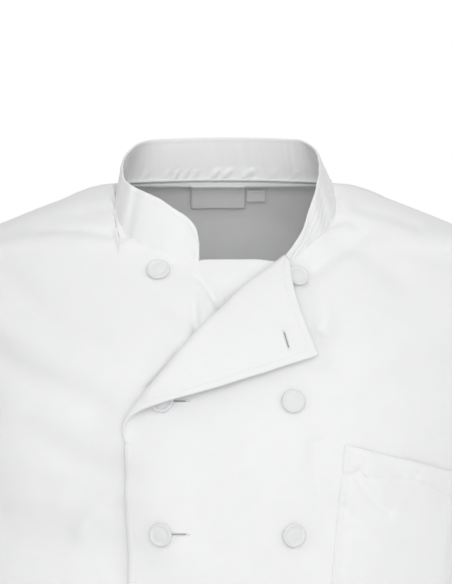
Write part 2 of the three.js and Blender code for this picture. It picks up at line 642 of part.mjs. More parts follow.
// One sleeve, as rings from the armhole to the cuff. Each has its own plane, which turns about
// the armpit from the upright armhole to the level of the arm.
function sleeveGrid(side) {
  const lean = degToRad(SLEEVE.lean);
  const armpit = formPoint(RIGHT_ANGLE, ARMPIT_Z);
  const shoulderPoint = formPoint(RIGHT_ANGLE, SHOULDER_Z);
  const reach = shoulderPoint.clone().sub(armpit);
  const upright = Math.atan2(reach.z, reach.x);
  const axes = (tilt) => ({
    up: new THREE.Vector3(Math.cos(tilt), 0, Math.sin(tilt)),
    out: new THREE.Vector3(Math.sin(tilt), 0, -Math.cos(tilt)),
  });
  const turns = Array.from({ length: SLEEVE_SIDES }, (_, i) => (2 * Math.PI * i) / SLEEVE_SIDES);
  const first = axes(upright);
  const hole = turns.map((turn) => {
    const p = armhole(turn, 1);
    const local = onBody(p.angle, p.z).sub(armpit);
    return { up: local.dot(first.up), across: local.y, out: local.dot(first.out) };
  });
  const ringAt = (t) => {
    const ease = smooth(0, 1, t);
    const frame = axes(mix(upright, lean, t));
    const shift = new THREE.Vector3(CLOTH + SEAM_GAP + SLEEVE.capOut * t, 0, -SLEEVE.capDrop * t);
    const start = armpit.clone().add(shift);
    const bulge = SLEEVE.capBulge * Math.sin(Math.PI * t);
    return turns.map((turn, i) => {
      const [up, across] = [SLEEVE_RADIUS * (1 + Math.cos(turn)), -SLEEVE_RADIUS * Math.sin(turn)];
      const top = (1 + Math.cos(turn)) / 2;
      const clear = t === 0 ? -SLEEVE_CLOSER_ON_TOP * top : 0;
      return start
        .clone()
        .addScaledVector(frame.up, mix(hole[i].up, up, ease) + bulge * top)
        .addScaledVector(frame.out, mix(hole[i].out, 0, ease) + clear)
        .add(new THREE.Vector3(0, mix(hole[i].across, across, ease), 0));
    });
  };
  const cap = Array.from({ length: CAP_RINGS + 1 }, (_, k) => ringAt(k / CAP_RINGS));
  const last = cap[CAP_RINGS];
  const centre = last.reduce((sum, p) => sum.add(p), new THREE.Vector3()).divideScalar(last.length);
  const lower = [];
  for (let k = 1; k <= SLEEVE_RINGS; k++) {
    const place = (k / SLEEVE_RINGS) * SLEEVE_BELOW_CAP;
    const elbow = smooth(SLEEVE.elbow.from, SLEEVE.elbow.to, k / SLEEVE_RINGS);
    const forward = Math.sin(degToRad(mix(SLEEVE.forward, SLEEVE.forwardBelowElbow, elbow)));
    const outward = Math.sin(degToRad(mix(SLEEVE.lean, SLEEVE.leanBelowElbow, elbow)));
    const direction = new THREE.Vector3(outward, -forward, -1).normalize();
    centre.addScaledVector(direction, SLEEVE_BELOW_CAP / SLEEVE_RINGS);
    const up = new THREE.Vector3(1, 0, 0).addScaledVector(direction, -direction.x).normalize();
    const ahead = direction.clone().cross(up);
    const radius = mix(SLEEVE_RADIUS, CUFF_RADIUS, place / SLEEVE_BELOW_CAP);
    lower.push(
      turns.map((turn) => {
        const r = radius + creaseDepth(place, turn);
        return centre
          .clone()
          .addScaledVector(up, r * Math.cos(turn))
          .addScaledVector(ahead, r * Math.sin(turn) * SLEEVE.depthToWidth);
      }),
    );
  }
  const rings = [...cap, ...lower];
  for (const ring of rings) for (const p of ring) p.x *= side;
  return side > 0 ? rings : rings.map((ring) => [...ring].reverse());
}

// The seam that the collar stands on, through the panels' own points and the places halfway
// between them, from its right end round the back to its left end.
function collarSeam() {
  const topOf = (grid) => grid[grid.length - 1];
  const under = UNDER_COLUMNS.shoulder;
  const right = topOf(underFront).slice(under, under + UNDER_COLUMNS.neck + 1).reverse();
  const rear = BACK_COLUMNS.shoulder;
  const middle = topOf(back).slice(rear, rear + BACK_COLUMNS.neck + 1).reverse();
  const left = overFrontLying.slice(LOWER_ROWS + FOLD_ROWS).map((row) => row[0]).reverse();
  const points = [...right, ...middle.slice(1, -1), ...left];
  const halfway = (i) => points[i].clone().lerp(points[i + 1], 0.5);
  return points.slice(1).flatMap((_, i) => [points[i], halfway(i)]);
}

function collarGrid() {
  const seam = collarSeam();
  const lengths = [0];
  for (let i = 1; i < seam.length; i++)
    lengths.push(lengths[i - 1] + seam[i].distanceTo(seam[i - 1]));
  const stations = seam.map((base, i) => {
    const share = lengths[i] / lengths[seam.length - 1];
    const at = (column) => along(COLLAR_EDGE, "share", share, column);
    const edge = new THREE.Vector3(at("x"), base.y - at("forward"), at("z"));
    const clear = COLLAR_CLEAR / edge.distanceTo(base);
    return { base, edge, clear };
  });
  return COLLAR_RISES.map((rise) =>
    stations.map(({ base, edge, clear }) => base.clone().lerp(edge, mix(clear, 1, rise))),
  );
}

const TOUCHING = 1e-6;

// The place on a panel's own facets seen from the front at x and z, moved out by lift.
// facing is -1 for a panel of the front and 1 for the back.
function onPanel(rows, x, z, lift, facing) {
  const cellsAcross = rows[0].length - 1;
  const normals = gridNormals(rows, cellsAcross, (c) => c, () => true);
  const flat = (p) => new THREE.Vector3(p.x, p.z, 0);
  const target = new THREE.Vector3(x, z, 0);
  const facets = Array.from({ length: (rows.length - 1) * cellsAcross }, (_, i) => {
    const [r, c] = [Math.floor(i / cellsAcross), i % cellsAcross];
    return [
      [[r, c], [r, c + 1], [r + 1, c + 1]],
      [[r, c], [r + 1, c + 1], [r + 1, c]],
    ];
  }).flat();
  for (const corners of facets) {
    const points = corners.map(([i, j]) => rows[i][j]);
    const share = new THREE.Vector3();
    if (!new THREE.Triangle(...points.map(flat)).getBarycoord(target, share)) continue;
    if (Math.min(share.x, share.y, share.z) < -TOUCHING) continue;
    const blend = ([a, b, d]) =>
      a.clone().multiplyScalar(share.x).addScaledVector(b, share.y).addScaledVector(d, share.z);
    const normal = blend(corners.map(([i, j]) => normals[i][j])).normalize();
    if (normal.y * facing < 0) continue;
    return blend(points).addScaledVector(normal, lift);
  }
  throw new Error(`nothing of the panel at ${x}, ${z}`);
}

// Inside the back: the tape below the neck seam, which follows the back's own columns.
const NECK_TAPE = { height: 4.6, drop: 3, halfWidth: 80 };
const TAPE_CLEAR = 0.35; // for the kinks between the facets of the back
const INSIDE_LAYER = (CLOTH + FACING_CLOTH) / 2 + LAYER_GAP;

const backSeamZ = (x) => BACK_NECK_Z * (1 - (x / section(0).half) ** 2) ** 0.25;

function tapeGrid() {
  const seam = back[back.length - 1].filter((p) => Math.abs(p.x) < NECK_TAPE.halfWidth && p.z > 0);
  const places = seam.slice(1).flatMap((p, i) => [(seam[i].x + p.x) / 2, p.x]);
  return [1, 0].map((share) =>
    [seam[0].x, ...places].map((x) => {
      const z = backSeamZ(x) - NECK_TAPE.drop - NECK_TAPE.height * share;
      return onPanel(back, x, z, -INSIDE_LAYER - TAPE_CLEAR, 1);
    }),
  );
}

// The labels over the lower edge of the tape.
const MAIN_LABEL = { width: 46, height: 18.5, drop: 4, middle: -6.8, columns: 6, rows: 2 };
const SIZE_LABEL = { width: 16, height: 9.4, drop: 7.5, middle: 25.9, columns: 2, rows: 1 };

function labelGrid({ width, height, drop, middle, columns, rows }) {
  const depth = INSIDE_LAYER + TAPE_CLEAR + FACING_CLOTH + LAYER_GAP;
  return Array.from({ length: rows + 1 }, (_, r) =>
    Array.from({ length: columns + 1 }, (_, c) => {
      const x = middle + width * (0.5 - c / columns);
      return onPanel(back, x, backSeamZ(x) - drop - height * (1 - r / rows), -depth, 1);
    }),
  );
}

// The chest pocket on the wearer's left, by its corners seen from the front.
const POCKET = {
  top: { inner: { x: 95, z: -214.7 }, outer: { x: 190.7, z: -239.5 } },
  bottom: { inner: { x: 82.4, z: -348.5 }, outer: { x: 178.4, z: -373 } },
  gap: 0.9,
  columns: 9,
  rows: 11,
};

function pocketGrid() {
  const layer = (CLOTH + FACING_CLOTH) / 2 + POCKET.gap;
  const { columns, rows } = POCKET;
  const edge = ({ inner, outer }, share, key) => mix(inner[key], outer[key], share);
  return Array.from({ length: rows + 1 }, (_, r) =>
    Array.from({ length: columns + 1 }, (_, c) => {
      const u = c / columns;
      const at = (key) => mix(edge(POCKET.bottom, u, key), edge(POCKET.top, u, key), r / rows);
      const angle = angleAt(at("x"), at("z"));
      return onBody(angle, at("z"), overLift(angle) + layer);
    }),
  );
}

const WHITE_CLOTH = { color: 0xf0f0f1, roughness: 0.85, metalness: 0 };
const jacket = new THREE.Group();

function add(name, geometry) {
  const mesh = new THREE.Mesh(geometry, new THREE.MeshStandardMaterial(WHITE_CLOTH));
  mesh.name = name;
  jacket.add(mesh);
  return mesh;
}

// A covered button, turned about its own axis: a domed disc on a short shank.
const SHANK_RADIUS = 3.2;
const BUTTON_SIDES = 16;
const BUTTON_PROFILE = [
  { radius: 0, height: 0 },
  { radius: SHANK_RADIUS, height: 0 },
  { radius: SHANK_RADIUS, height: 1.2 },
  { radius: BUTTON_RADIUS - 0.8, height: 1.6 },
  { radius: BUTTON_RADIUS, height: 3.1 },
  { radius: BUTTON_RADIUS - 1.4, height: 4.8 },
  { radius: 0, height: 5.5 },
];

function buttonGeometry() {
  const profile = BUTTON_PROFILE.map((p) => new THREE.Vector2(p.radius, p.height));
  const geometry = new THREE.LatheGeometry(profile, BUTTON_SIDES);
  geometry.rotateX(RIGHT_ANGLE);
  return geometry;
}

function addButton(name, { x, z }, panel) {
  const button = add(name, buttonGeometry());
  const lift = CLOTH / 2 + LAYER_GAP;
  const reach = 2 * SHANK_RADIUS;
  const at = (dx, dz, out) => onPanel(panel, x + dx, z + dz, out, -1);
  button.position.copy(at(0, 0, lift));
  const across = at(reach, 0, 0).sub(at(-reach, 0, 0));
  const upwards = at(0, reach, 0).sub(at(0, -reach, 0));
  const normal = across.cross(upwards).normalize();
  button.quaternion.setFromUnitVectors(new THREE.Vector3(0, 0, 1), normal);
}

const overFront = overFrontGrid();
const overFrontLying = overFront.map((row) => row.slice(FLAP_COLUMNS));
const underFront = underFrontGrid();
const back = backGrid();

add("front_left", wall(overFront, CLOTH, { has: lyingOrTurned }));
add("front_right", wall(underFront, CLOTH));
add("back", wall(back, CLOTH));
add("sleeve_left", wall(sleeveGrid(1), CLOTH, { ring: true }));
add("sleeve_right", wall(sleeveGrid(-1), CLOTH, { ring: true }));
add("collar", wall(collarGrid(), COLLAR_CLOTH));
add("facing_left", wall(facingGrid(overFront), FACING_CLOTH));
add("chest_pocket", wall(pocketGrid(), FACING_CLOTH));
add("neck_tape", wall(tapeGrid(), FACING_CLOTH));
add("main_label", wall(labelGrid(MAIN_LABEL), FACING_CLOTH));
add("size_label", wall(labelGrid(SIZE_LABEL), FACING_CLOTH));

addButton("button_right_1", FIRST_BUTTONS.right, underFront);
addButton("button_left_1", FIRST_BUTTONS.left, overFrontLying);
for (const [side, { x, z }] of Object.entries(SECOND_BUTTONS))
  for (let row = 2; row <= BUTTON_ROWS; row++)
    addButton(`button_${side}_${row}`, { x, z: z - (row - 2) * BUTTON_PITCH }, overFrontLying);

export default jacket;
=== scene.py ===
import math

import bmesh
import bpy
import numpy as np
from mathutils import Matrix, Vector


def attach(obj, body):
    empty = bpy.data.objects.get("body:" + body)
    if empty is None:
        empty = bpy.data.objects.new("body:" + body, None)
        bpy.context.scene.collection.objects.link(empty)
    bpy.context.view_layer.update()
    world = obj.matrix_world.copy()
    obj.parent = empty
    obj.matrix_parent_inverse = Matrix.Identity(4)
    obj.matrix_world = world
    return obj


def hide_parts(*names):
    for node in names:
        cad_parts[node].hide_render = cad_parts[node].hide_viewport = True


# A white double-breasted chef jacket, hollow and filled out as if worn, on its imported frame.
# Sizes are in millimetres and become metres when a piece is made. +Z is up, the front faces -Y
# and +X is the wearer's left. Grids of points run upwards by rows and leftwards to the wearer by
# columns, as seen from outside.
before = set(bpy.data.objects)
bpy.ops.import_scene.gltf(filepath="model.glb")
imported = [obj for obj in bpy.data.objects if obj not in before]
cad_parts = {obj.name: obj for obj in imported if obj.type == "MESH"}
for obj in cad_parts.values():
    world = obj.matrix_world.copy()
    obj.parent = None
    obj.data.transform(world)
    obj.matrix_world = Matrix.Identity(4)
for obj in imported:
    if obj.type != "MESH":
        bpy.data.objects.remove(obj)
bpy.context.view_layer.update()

MM = 0.001
CLOTH = 1.2
FACING_CLOTH = 0.9
COLLAR_CLOTH = 1.8
OVERLAP_LIFT = 2.8
HEM_Z = -748
HEM = 22
CUFF_HEM = 25
ARMPIT_Z = -240
SHOULDER_Z = -54
FRONT_EDGE_X = 81.5
BUTTON_PITCH = 107
BUTTON_ROWS = 5
FIRST_BUTTONS = {"right": (-55, -74.5), "left": (57.5, -79.5)}
SECOND_BUTTONS = {"right": (-51.5, -179), "left": (54, -179.5)}
CUFF_RADIUS = 49
SLEEVE_RADIUS = 70
SLEEVE_BELOW_CAP = 418
BACK_NECK_Z = 5
ARMHOLE_FRONT = 74
ARMHOLE_BACK = 76
SEAM_HALF_GAP = 0.05

# The parts of each panel's grid, as counts of the plain solid's cells; FINER divides each of them.
OVER_COLUMNS = 12
UNDER_COLUMNS = {"shoulder": 6, "neck": 7, "top_edge": 3}
BACK_COLUMNS = {"shoulder": 6, "neck": 12}
UPPER_ROWS = 16
FOLD_ROWS = 10
LOWER_ROWS = 11
ROWS_CLOSER_ABOVE = 1.4
FINER = 8
BACK_FINER = 6
FLAP_COLUMNS = 65
FACING_UNDER = 6
SLEEVE_SIDES = 128
CAP_RINGS = 32
SLEEVE_RINGS = 100
COLLAR_COLUMNS = 320
COLLAR_ROWS = 30


def table(names, *rows):
    return dict(zip(names.split(), np.array(rows, float).T))


def rows_of(t):
    names = list(t)
    return [dict(zip(names, values)) for values in zip(*t.values())]


SECTIONS = table(
    "z half front side back squareness",
    (-760, 231, -158, -12, 138, 2.35),
    (-600, 224, -154, -14, 130, 2.35),
    (-430, 217, -154, -16, 120, 2.3),
    (-240, 222, -164, -12, 134, 2.25),
    (-150, 229, -150, -5, 131, 2.15),
    (-100, 234, -127, 0, 120, 2.05),
    (-70, 236, -105, 2, 110, 2),
    (-54, 235, -92, 4, 104, 2),
    (-32.5, 185, -77, 4, 94, 2),
    (-14.3, 139, -62, 4, 82, 2),
    (-1.4, 104, -46, 4, 70, 2),
    (0, 88, -38, 4, 64, 2),
)

# Soft folds of the panels, as lines seen from the front or the back: a trough has a depth below 0.
FRONT_FOLDS = table(
    "x1 z1 x2 z2 width depth",
    (-185, -95, -105, -185, 26, -3.5),
    (-160, -290, -95, -225, 34, -5),
    (-190, -330, -110, -470, 30, 4),
    (-118, -22, -90, -48, 9, -2.4),
    (-40, -66, -5, -104, 9, -3),
    (40, -66, 5, -90, 11, -2.5),
    (84, -42, 140, -74, 12, -3),
    (205, -400, 110, -480, 30, -4.5),
    (150, -560, 175, -748, 30, 5),
    (-150, -540, -165, -748, 32, 5),
    (0, -600, 20, -748, 34, -4),
)
BACK_FOLDS = table(
    "x1 z1 x2 z2 width depth",
    (-150, -170, -80, -330, 28, 4.5),
    (150, -180, 90, -350, 30, 4.5),
    (-175, -400, -60, -440, 26, -4.5),
    (170, -390, 50, -452, 26, -4),
    (-110, -520, -130, -748, 34, 5.5),
    (95, -540, 120, -748, 32, 5),
    (0, -560, -10, -748, 34, -4),
)
FOLDS_FADE = (0.1, 0.6)

NECKLINE_RIGHT = [(-88, 0), (-91, -14), (-86, -36), (-70, -52), (-47, -59.5), (-22.5, -64.8)]
NECKLINE_LEFT = [(88, 0), (91, -14), (89, -29), (80, -44), (66, -57), (49.9, -69.1)]
UNDER_CORNER = (66, -64.2)
UNDER_EDGE_MIDDLE = (80, -150)
FOLD_LINE = [
    (-81, -213), (-76, -196.5), (-69.3, -187.6), (-57.4, -174.6), (-33.3, -145.6), (-9.6, -119.2),
    (16.6, -93.4), (49.9, -69.1),
]
FLAP_CORNER = {"along": 171.5, "beyond": 85.4}
FLAP_TOP = {"along": 196.1, "beyond": 15.7}
FLAP_SIDE_HOLLOW = 3.2
FLAP_EDGE = table(
    "along beyond",
    (0, 0),
    (14, 7.5),
    (28.7, 15.6),
    (47, 28),
    (70.2, 43.9),
    (84.5, 52.5),
    (99.1, 60),
    (130.5, 73.4),
    (149.3, 80.2),
    (171.5, 85.4),
)
ROLL_RADII = table(
    "along radius",
    (0, 2.2),
    (25, 4.2),
    (50, 5.2),
    (90, 4.8),
    (140, 3.6),
    (172, 3.4),
    (195, 3.9),
    (220, 3.9),
)

# The collar's top edge, by its share of the way round the neck from its right end to its left end.
COLLAR_EDGE = table(
    "share x z forward",
    (0, -22.3, -52.5, 1),
    (0.014, -24.3, -41, 2),
    (0.03, -30.8, -31.4, 3),
    (0.054, -42.8, -23.2, 5),
    (0.08, -54.7, -15.2, 7),
    (0.108, -66.5, -9.6, 10),
    (0.14, -77.5, -4, 13),
    (0.176, -84.5, 3, 14),
    (0.221, -86, 13, 11),
    (0.265, -84.3, 21, 9.5),
    (0.31, -78.8, 29, 8),
    (0.361, -72, 34.7, 6),
    (0.411, -60, 37.6, 5),
    (0.529, 0, 39.7, 5),
    (0.647, 60, 37.7, 5),
    (0.696, 70, 33, 5),
    (0.748, 76, 25.3, 6),
    (0.824, 77.5, 13, 9),
    (0.86, 76.5, 4, 13),
    (0.892, 74.5, -5, 14),
    (0.92, 71.5, -15, 10),
    (0.945, 67.5, -27, 5),
    (0.966, 63.3, -39.5, 3),
    (0.984, 57, -51, 2),
    (1, 48.8, -61.5, 1),
)


def along(t, key, place, column):
    """One column of a table at a place between its rows, as a smooth curve that never overshoots."""
    x, y = t[key], t[column]
    place = np.clip(np.asarray(place, float), x[0], x[-1])
    step = np.diff(x)
    rise = np.diff(y) / step
    both = rise[:-1] * rise[1:]
    total = np.where(both > 0, rise[:-1] + rise[1:], 1)
    inner = np.where(both > 0, 2 * both / total, 0)
    slope = np.concatenate([rise[:1], inner, rise[-1:]])
    i = np.clip(np.searchsorted(x, place, side="right") - 1, 0, len(x) - 2)
    t1 = (place - x[i]) / step[i]
    t2, t3 = t1**2, t1**3
    return (
        (2 * t3 - 3 * t2 + 1) * y[i]
        + (t3 - 2 * t2 + t1) * step[i] * slope[i]
        + (3 * t2 - 2 * t3) * y[i + 1]
        + (t3 - t2) * step[i] * slope[i + 1]
    )


def smooth(low, high, value):
    t = np.clip((value - low) / (high - low), 0, 1)
    return t * t * (3 - 2 * t)


def mix(a, b, share):
    return a + (b - a) * share


def unit(v):
    return v / np.maximum(np.linalg.norm(v, axis=-1, keepdims=True), 1e-9)


def section(z):
    half, front, side, back, power = (
        along(SECTIONS, "z", z, name) for name in ("half", "front", "side", "back", "squareness")
    )
    return half, side, side - front, back - side, power


def form_point(angle, z):
    """A point of the smooth body: the angle is 0 at the middle of the front, 90 at the left side."""
    angle, z = np.broadcast_arrays(np.asarray(angle, float), np.asarray(z, float))
    half, side, forward, rearward, power = section(z)
    depth = np.where(np.cos(angle) > 0, forward, rearward)
    across = np.abs(np.sin(angle) / half) ** power
    inwards = np.abs(np.cos(angle) / depth) ** power
    radius = (across + inwards) ** (-1 / power)
    return np.stack([radius * np.sin(angle), side - radius * np.cos(angle), z], -1)


def angle_at(x, z, behind=False):
    half, side, forward, rearward, power = section(z)
    depth = rearward if behind else forward
    share = np.minimum(1, np.abs(x) / half)
    reach = depth * (1 - share**power) ** (1 / power)
    angle = np.arctan2(x, reach)
    return np.where(np.asarray(x) < 0, -math.pi, math.pi) - angle if behind else angle


def body_normal(angle, z):
    low = np.minimum(z, -1)
    across = form_point(angle + 0.02, low) - form_point(angle - 0.02, low)
    upwards = form_point(angle, low + 1) - form_point(angle, low - 1)
    return unit(np.cross(across, upwards))


def folds_at(folds, x, z):
    """The depth of straight folds of even depth."""
    depth = np.zeros(np.shape(x))
    for f in rows_of(folds):
        dx, dz = f["x2"] - f["x1"], f["z2"] - f["z1"]
        t = np.clip(((x - f["x1"]) * dx + (z - f["z1"]) * dz) / (dx * dx + dz * dz), 0, 1)
        away = np.hypot(x - f["x1"] - t * dx, z - f["z1"] - t * dz)
        depth += f["depth"] * np.exp(-((away / f["width"]) ** 2))
    return depth


def creases_at(creases, x, z):
    """The depth of bowed creases, whose depth changes from one end to the other."""
    depth = np.zeros(np.shape(x))
    for f in rows_of(creases):
        dx, dz = f["x2"] - f["x1"], f["z2"] - f["z1"]
        length = math.hypot(dx, dz)
        t = np.clip(((x - f["x1"]) * dx + (z - f["z1"]) * dz) / length**2, 0, 1)
        bow = f["bow"] * 4 * t * (1 - t) / length
        away = np.hypot(x - f["x1"] - t * dx + bow * dz, z - f["z1"] - t * dz - bow * dx)
        depth += mix(f["depth1"], f["depth2"], t) * np.exp(-((away / f["width"]) ** 2))
    return depth


# Finer creases than the solids have, on the front. bow moves a crease's middle to its left.
CREASES = "x1 z1 x2 z2 bow width depth1 depth2"
SIDE_FRONT_CREASES = table(
    CREASES,
    (-190, -112, -92, -166, -4, 19, 8, 3.4),
    (-192, -140, -108, -184, -3, 15, -8, -3),
    (-190, -72, -112, -122, -6, 15, -4.6, -2),
    (-186, -92, -120, -138, -4, 11, 2, 1),
    (-188, -42, -104, -22, 2, 8, -3.6, -1),
    (-178, -33, -110, -15, 1, 6, 1.8, 0.5),
    (-156, -39, -82, -43, 2, 4.5, -2.4, -3.2),
    (-120, -50, -84, -52, 0, 6, 1.2, 2),
    (-116, -36, -85, -38, -1, 4.5, 1, 2),
    (-108, -20, -84, -34, 3, 3.2, -1.2, -2.4),
    (-104, -15, -90, -25, 2, 4, 1.2, 0.8),
    (-99, -6, -92, -16, 0, 2.6, -1.8, -1),
    (-156, -205, -88, -240, -6, 17, -3, -7),
    (-185, -290, -92, -300, 4, 32, -13, -13),
    (-150, -250, -92, -262, 2, 14, -3, -5),
    (-170, -184, -96, -204, 4, 20, 3, 4),
    (-122, -286, -86, -252, 3, 9, 4, 2.4),
    (-76, -182, -66, -180, 0, 4, -1.8, -1.4),
    (91, -9, 93, -27, 0, 5.5, -3, -1),
    (98, -13, 104, -26, 0, 5, 1, 0.4),
    (82, -38, 104, -32, 2, 3.2, -2.2, -0.8),
    (78, -46, 104, -40, 2, 3.6, 1.6, 0.5),
    (72, -72, 112, -42, -2, 7, -4.6, -2.4),
    (66, -58, 98, -42, 0, 5.5, 1.8, 1),
    (104, -66, 150, -32, -3, 13, 2.2, 0.8),
    (118, -44, 190, -60, -4, 11, -2, -3.6),
    (108, -20, 160, -37, 1, 5, -1.4, -2),
    (70, -84, 79, -118, 4, 9, -4, -5),
    (79, -118, 88, -148, 3, 9, -5, -5),
    (146, -92, 190, -66, 3, 13, -2, -1.6),
    (126, -142, 188, -104, 4, 26, 1.6, 2.6),
    (120, -172, 188, -150, 3, 14, -1.6, -2.4),
    (73, -213, 79, -262, -5, 7, -3.2, -2.6),
    (90, -270, 70, -300, 0, 14, -2.4, -3),
    (-60, -262, -44, -300, 3, 16, 1.6, 2.4),
    (-20, -200, -8, -290, -6, 20, -1.2, -2.4),
    (18, -210, 40, -290, 4, 16, 1, 2),
)
V_CREASES = table(
    CREASES,
    (-24, -78, -11, -92, 1, 2.8, -1, -2.6),
    (-11, -92, -3.5, -108, 1, 3, -2.6, -7.5),
    (-30, -80, -12, -100, 2, 4, 1.4, 0.8),
    (-25.4, -92, -24.2, -128, 0, 3.2, -0.8, -7.5),
    (-20, -94, -18, -116, 0, 3.6, 1.4, 1),
    (-36, -134, -61, -169, 2, 3, -1.2, -6.5),
    (-46, -136, -66, -160, 2, 7, 1.6, 1.2),
    (-23.5, -64, -17.5, -81, 1, 2, -1.6, -0.8),
    (41, -70, 2, -98, 1, 6, -1.4, -5),
    (30, -62, 0, -80, 1, 6, 1, 0.8),
    (4, -94, -16, -116, 0, 4.5, -2, -1),
    (-60, -92, -34, -106, 3, 9, -1, -1.6),
    (-66, -110, -36, -128, 2, 9, 0.8, 1.6),
)


def on_body(angle, z, lift=0, fine=None):
    """Points of the body with its folds, moved out by lift."""
    point = form_point(angle, z)
    normal = body_normal(angle, z)
    x, height = point[..., 0], point[..., 2]
    forward = smooth(*FOLDS_FADE, -normal[..., 1])
    rearward = smooth(*FOLDS_FADE, normal[..., 1])
    front = folds_at(FRONT_FOLDS, x, height) + creases_at(SIDE_FRONT_CREASES, x, height)
    if fine is not None:
        front += creases_at(fine, x, height)
    out = forward * front + rearward * folds_at(BACK_FOLDS, x, height) + lift
    return point + normal * out[..., None]


def over_lift(angle):
    return OVERLAP_LIFT * (1 - smooth(38, 62, np.degrees(angle)))


class Line:
    """A smooth line through (x, z) points, by share of its length."""

    def __init__(self, points, divisions=400):
        p = np.array(points, float)
        p = np.vstack([2 * p[0] - p[1], p, 2 * p[-1] - p[-2]])
        place = np.linspace(0, len(points) - 1, divisions + 1)
        i = np.minimum(place.astype(int), len(points) - 2)
        w = (place - i)[:, None]
        a, b, c, d = (p[i + k] for k in range(4))
        first, second, third = (
            np.sqrt(np.linalg.norm(q - r, axis=1))[:, None] for q, r in ((b, a), (c, b), (d, c))
        )
        start = ((b - a) / first - (c - a) / (first + second) + (c - b) / second) * second
        end = ((c - b) / second - (d - b) / (second + third) + (d - c) / third) * second
        self.points = (
            b
            + start * w
            + (3 * (c - b) - 2 * start - end) * w**2
            + (2 * (b - c) + start + end) * w**3
        )
        steps = np.linalg.norm(np.diff(self.points, axis=0), axis=1)
        self.lengths = np.concatenate([[0], np.cumsum(steps)])
        self.length = self.lengths[-1]
        self.directions = unit(np.gradient(self.points, axis=0))

    def at(self, share, values=None):
        values = self.points if values is None else values
        place = np.asarray(share) * self.length
        return [np.interp(place, self.lengths, values[:, k]) for k in (0, 1)]

    def direction(self, share):
        return self.at(share, self.directions)


def armhole(turn, side):
    z = (SHOULDER_Z + ARMPIT_Z) / 2 + ((SHOULDER_Z - ARMPIT_Z) / 2) * np.cos(turn)
    half, _, forward, rearward, power = section(z)
    in_front = np.sin(turn) >= 0
    reach = np.abs(np.sin(turn)) * np.where(in_front, ARMHOLE_FRONT, ARMHOLE_BACK)
    depth = np.where(in_front, forward, rearward)
    x = half * (1 - (reach / depth) ** power) ** (1 / power)
    return side * np.arctan2(x, np.where(in_front, reach, -reach)), z


def shoulder_seam(share, side, clear):
    z = np.linspace(SHOULDER_Z, 0, 600)
    half = section(z)[0]
    wanted = mix(half[0], half[-1], np.asarray(share, float))
    return side * (math.pi / 2 + clear / wanted), np.interp(wanted, half[::-1], z[::-1])


RAY_HEART = (4.0, -170.0)
BISECTIONS = 34


def onto_body(point):
    """The (angle, z) at which rays from inside the body through points meet its surface."""
    heart = np.stack([0.55 * point[..., 0]] + [np.full(point.shape[:-1], v) for v in RAY_HEART], -1)
    ray = point - heart
    near, far = np.full(point.shape[:-1], 0.4), np.full(point.shape[:-1], 1.6)
    for _ in range(BISECTIONS):
        middle = (near + far) / 2
        p = heart + ray * middle[..., None]
        half, side, forward, rearward, power = section(p[..., 2])
        depth = np.where(p[..., 1] < side, forward, rearward)
        size = np.abs(p[..., 0] / half) ** power + np.abs((p[..., 1] - side) / depth) ** power
        near, far = np.where(size < 1, middle, near), np.where(size < 1, far, middle)
    p = heart + ray * near[..., None]
    return np.arctan2(p[..., 0], section(p[..., 2])[1] - p[..., 1]), p[..., 2]


def patch(bottom, top, start, end, columns, rows):
    """A grid of (angle, z) between four edges, blended in space and put onto the body."""
    u, v = np.linspace(0, 1, columns + 1), np.linspace(0, 1, rows + 1)
    low, high, first, last = (form_point(*edge) for edge in (bottom(u), top(u), start(v), end(v)))
    s, t = u[None, :, None], v[:, None, None]
    upwards = mix(low[None], high[None], t)
    across = mix(first[:, None], last[:, None], s)
    corners = mix(mix(low[0], low[-1], s), mix(high[0], high[-1], s), t)
    angle, z = onto_body(upwards + across - corners)
    for k, grid in enumerate((angle, z)):
        grid[:, 0], grid[:, -1] = start(v)[k], end(v)[k]
        grid[0], grid[-1] = bottom(u)[k], top(u)[k]
    return angle, z


def with_rows_below(upper, hem_angle, finer):
    angle, z = upper
    rows = LOWER_ROWS * finer
    share = (1 - (1 - np.arange(rows) / rows) ** ROWS_CLOSER_ABOVE)[:, None]
    at_hem = hem_angle(np.linspace(0, 1, angle.shape[1]))[None]
    return (
        np.vstack([mix(at_hem, angle[:1], share), angle]),
        np.vstack([mix(HEM_Z, z[:1], share), z]),
    )


def evenly(start, end, z):
    """The angle at equal steps of the cloth round a level, from one angle to another."""
    angles = np.linspace(start, end, 241)
    steps = np.linalg.norm(np.diff(form_point(angles, z), axis=0), axis=1)
    lengths = np.concatenate([[0], np.cumsum(steps)])
    return lambda u: np.interp(np.asarray(u) * lengths[-1], lengths, angles)


def on_line(line, share):
    x, z = line.at(share)
    return angle_at(x, z), z


def side_angle(side, clear):
    return side * (math.pi / 2 + clear / section(ARMPIT_Z)[0])


def armhole_front(side):
    return lambda v: armhole(math.pi * (1 - v), side)


def normals_of(points, cells=None, ring=False):
    """The normal at each point of a grid, from the cells round it."""
    p = np.concatenate([points, points[:, :1]], 1) if ring else points
    normal = unit(np.cross(p[1:, 1:] - p[:-1, :-1], p[1:, :-1] - p[:-1, 1:]))
    if cells is not None:
        normal = normal * cells[..., None]
    total = np.zeros(p.shape)
    for r, c in ((slice(None, -1), slice(None, -1)), (slice(None, -1), slice(1, None)),
                 (slice(1, None), slice(None, -1)), (slice(1, None), slice(1, None))):
        total[r, c] += normal
    if ring:
        total[:, 0] += total[:, -1]
        total = total[:, :-1]
    return unit(total)


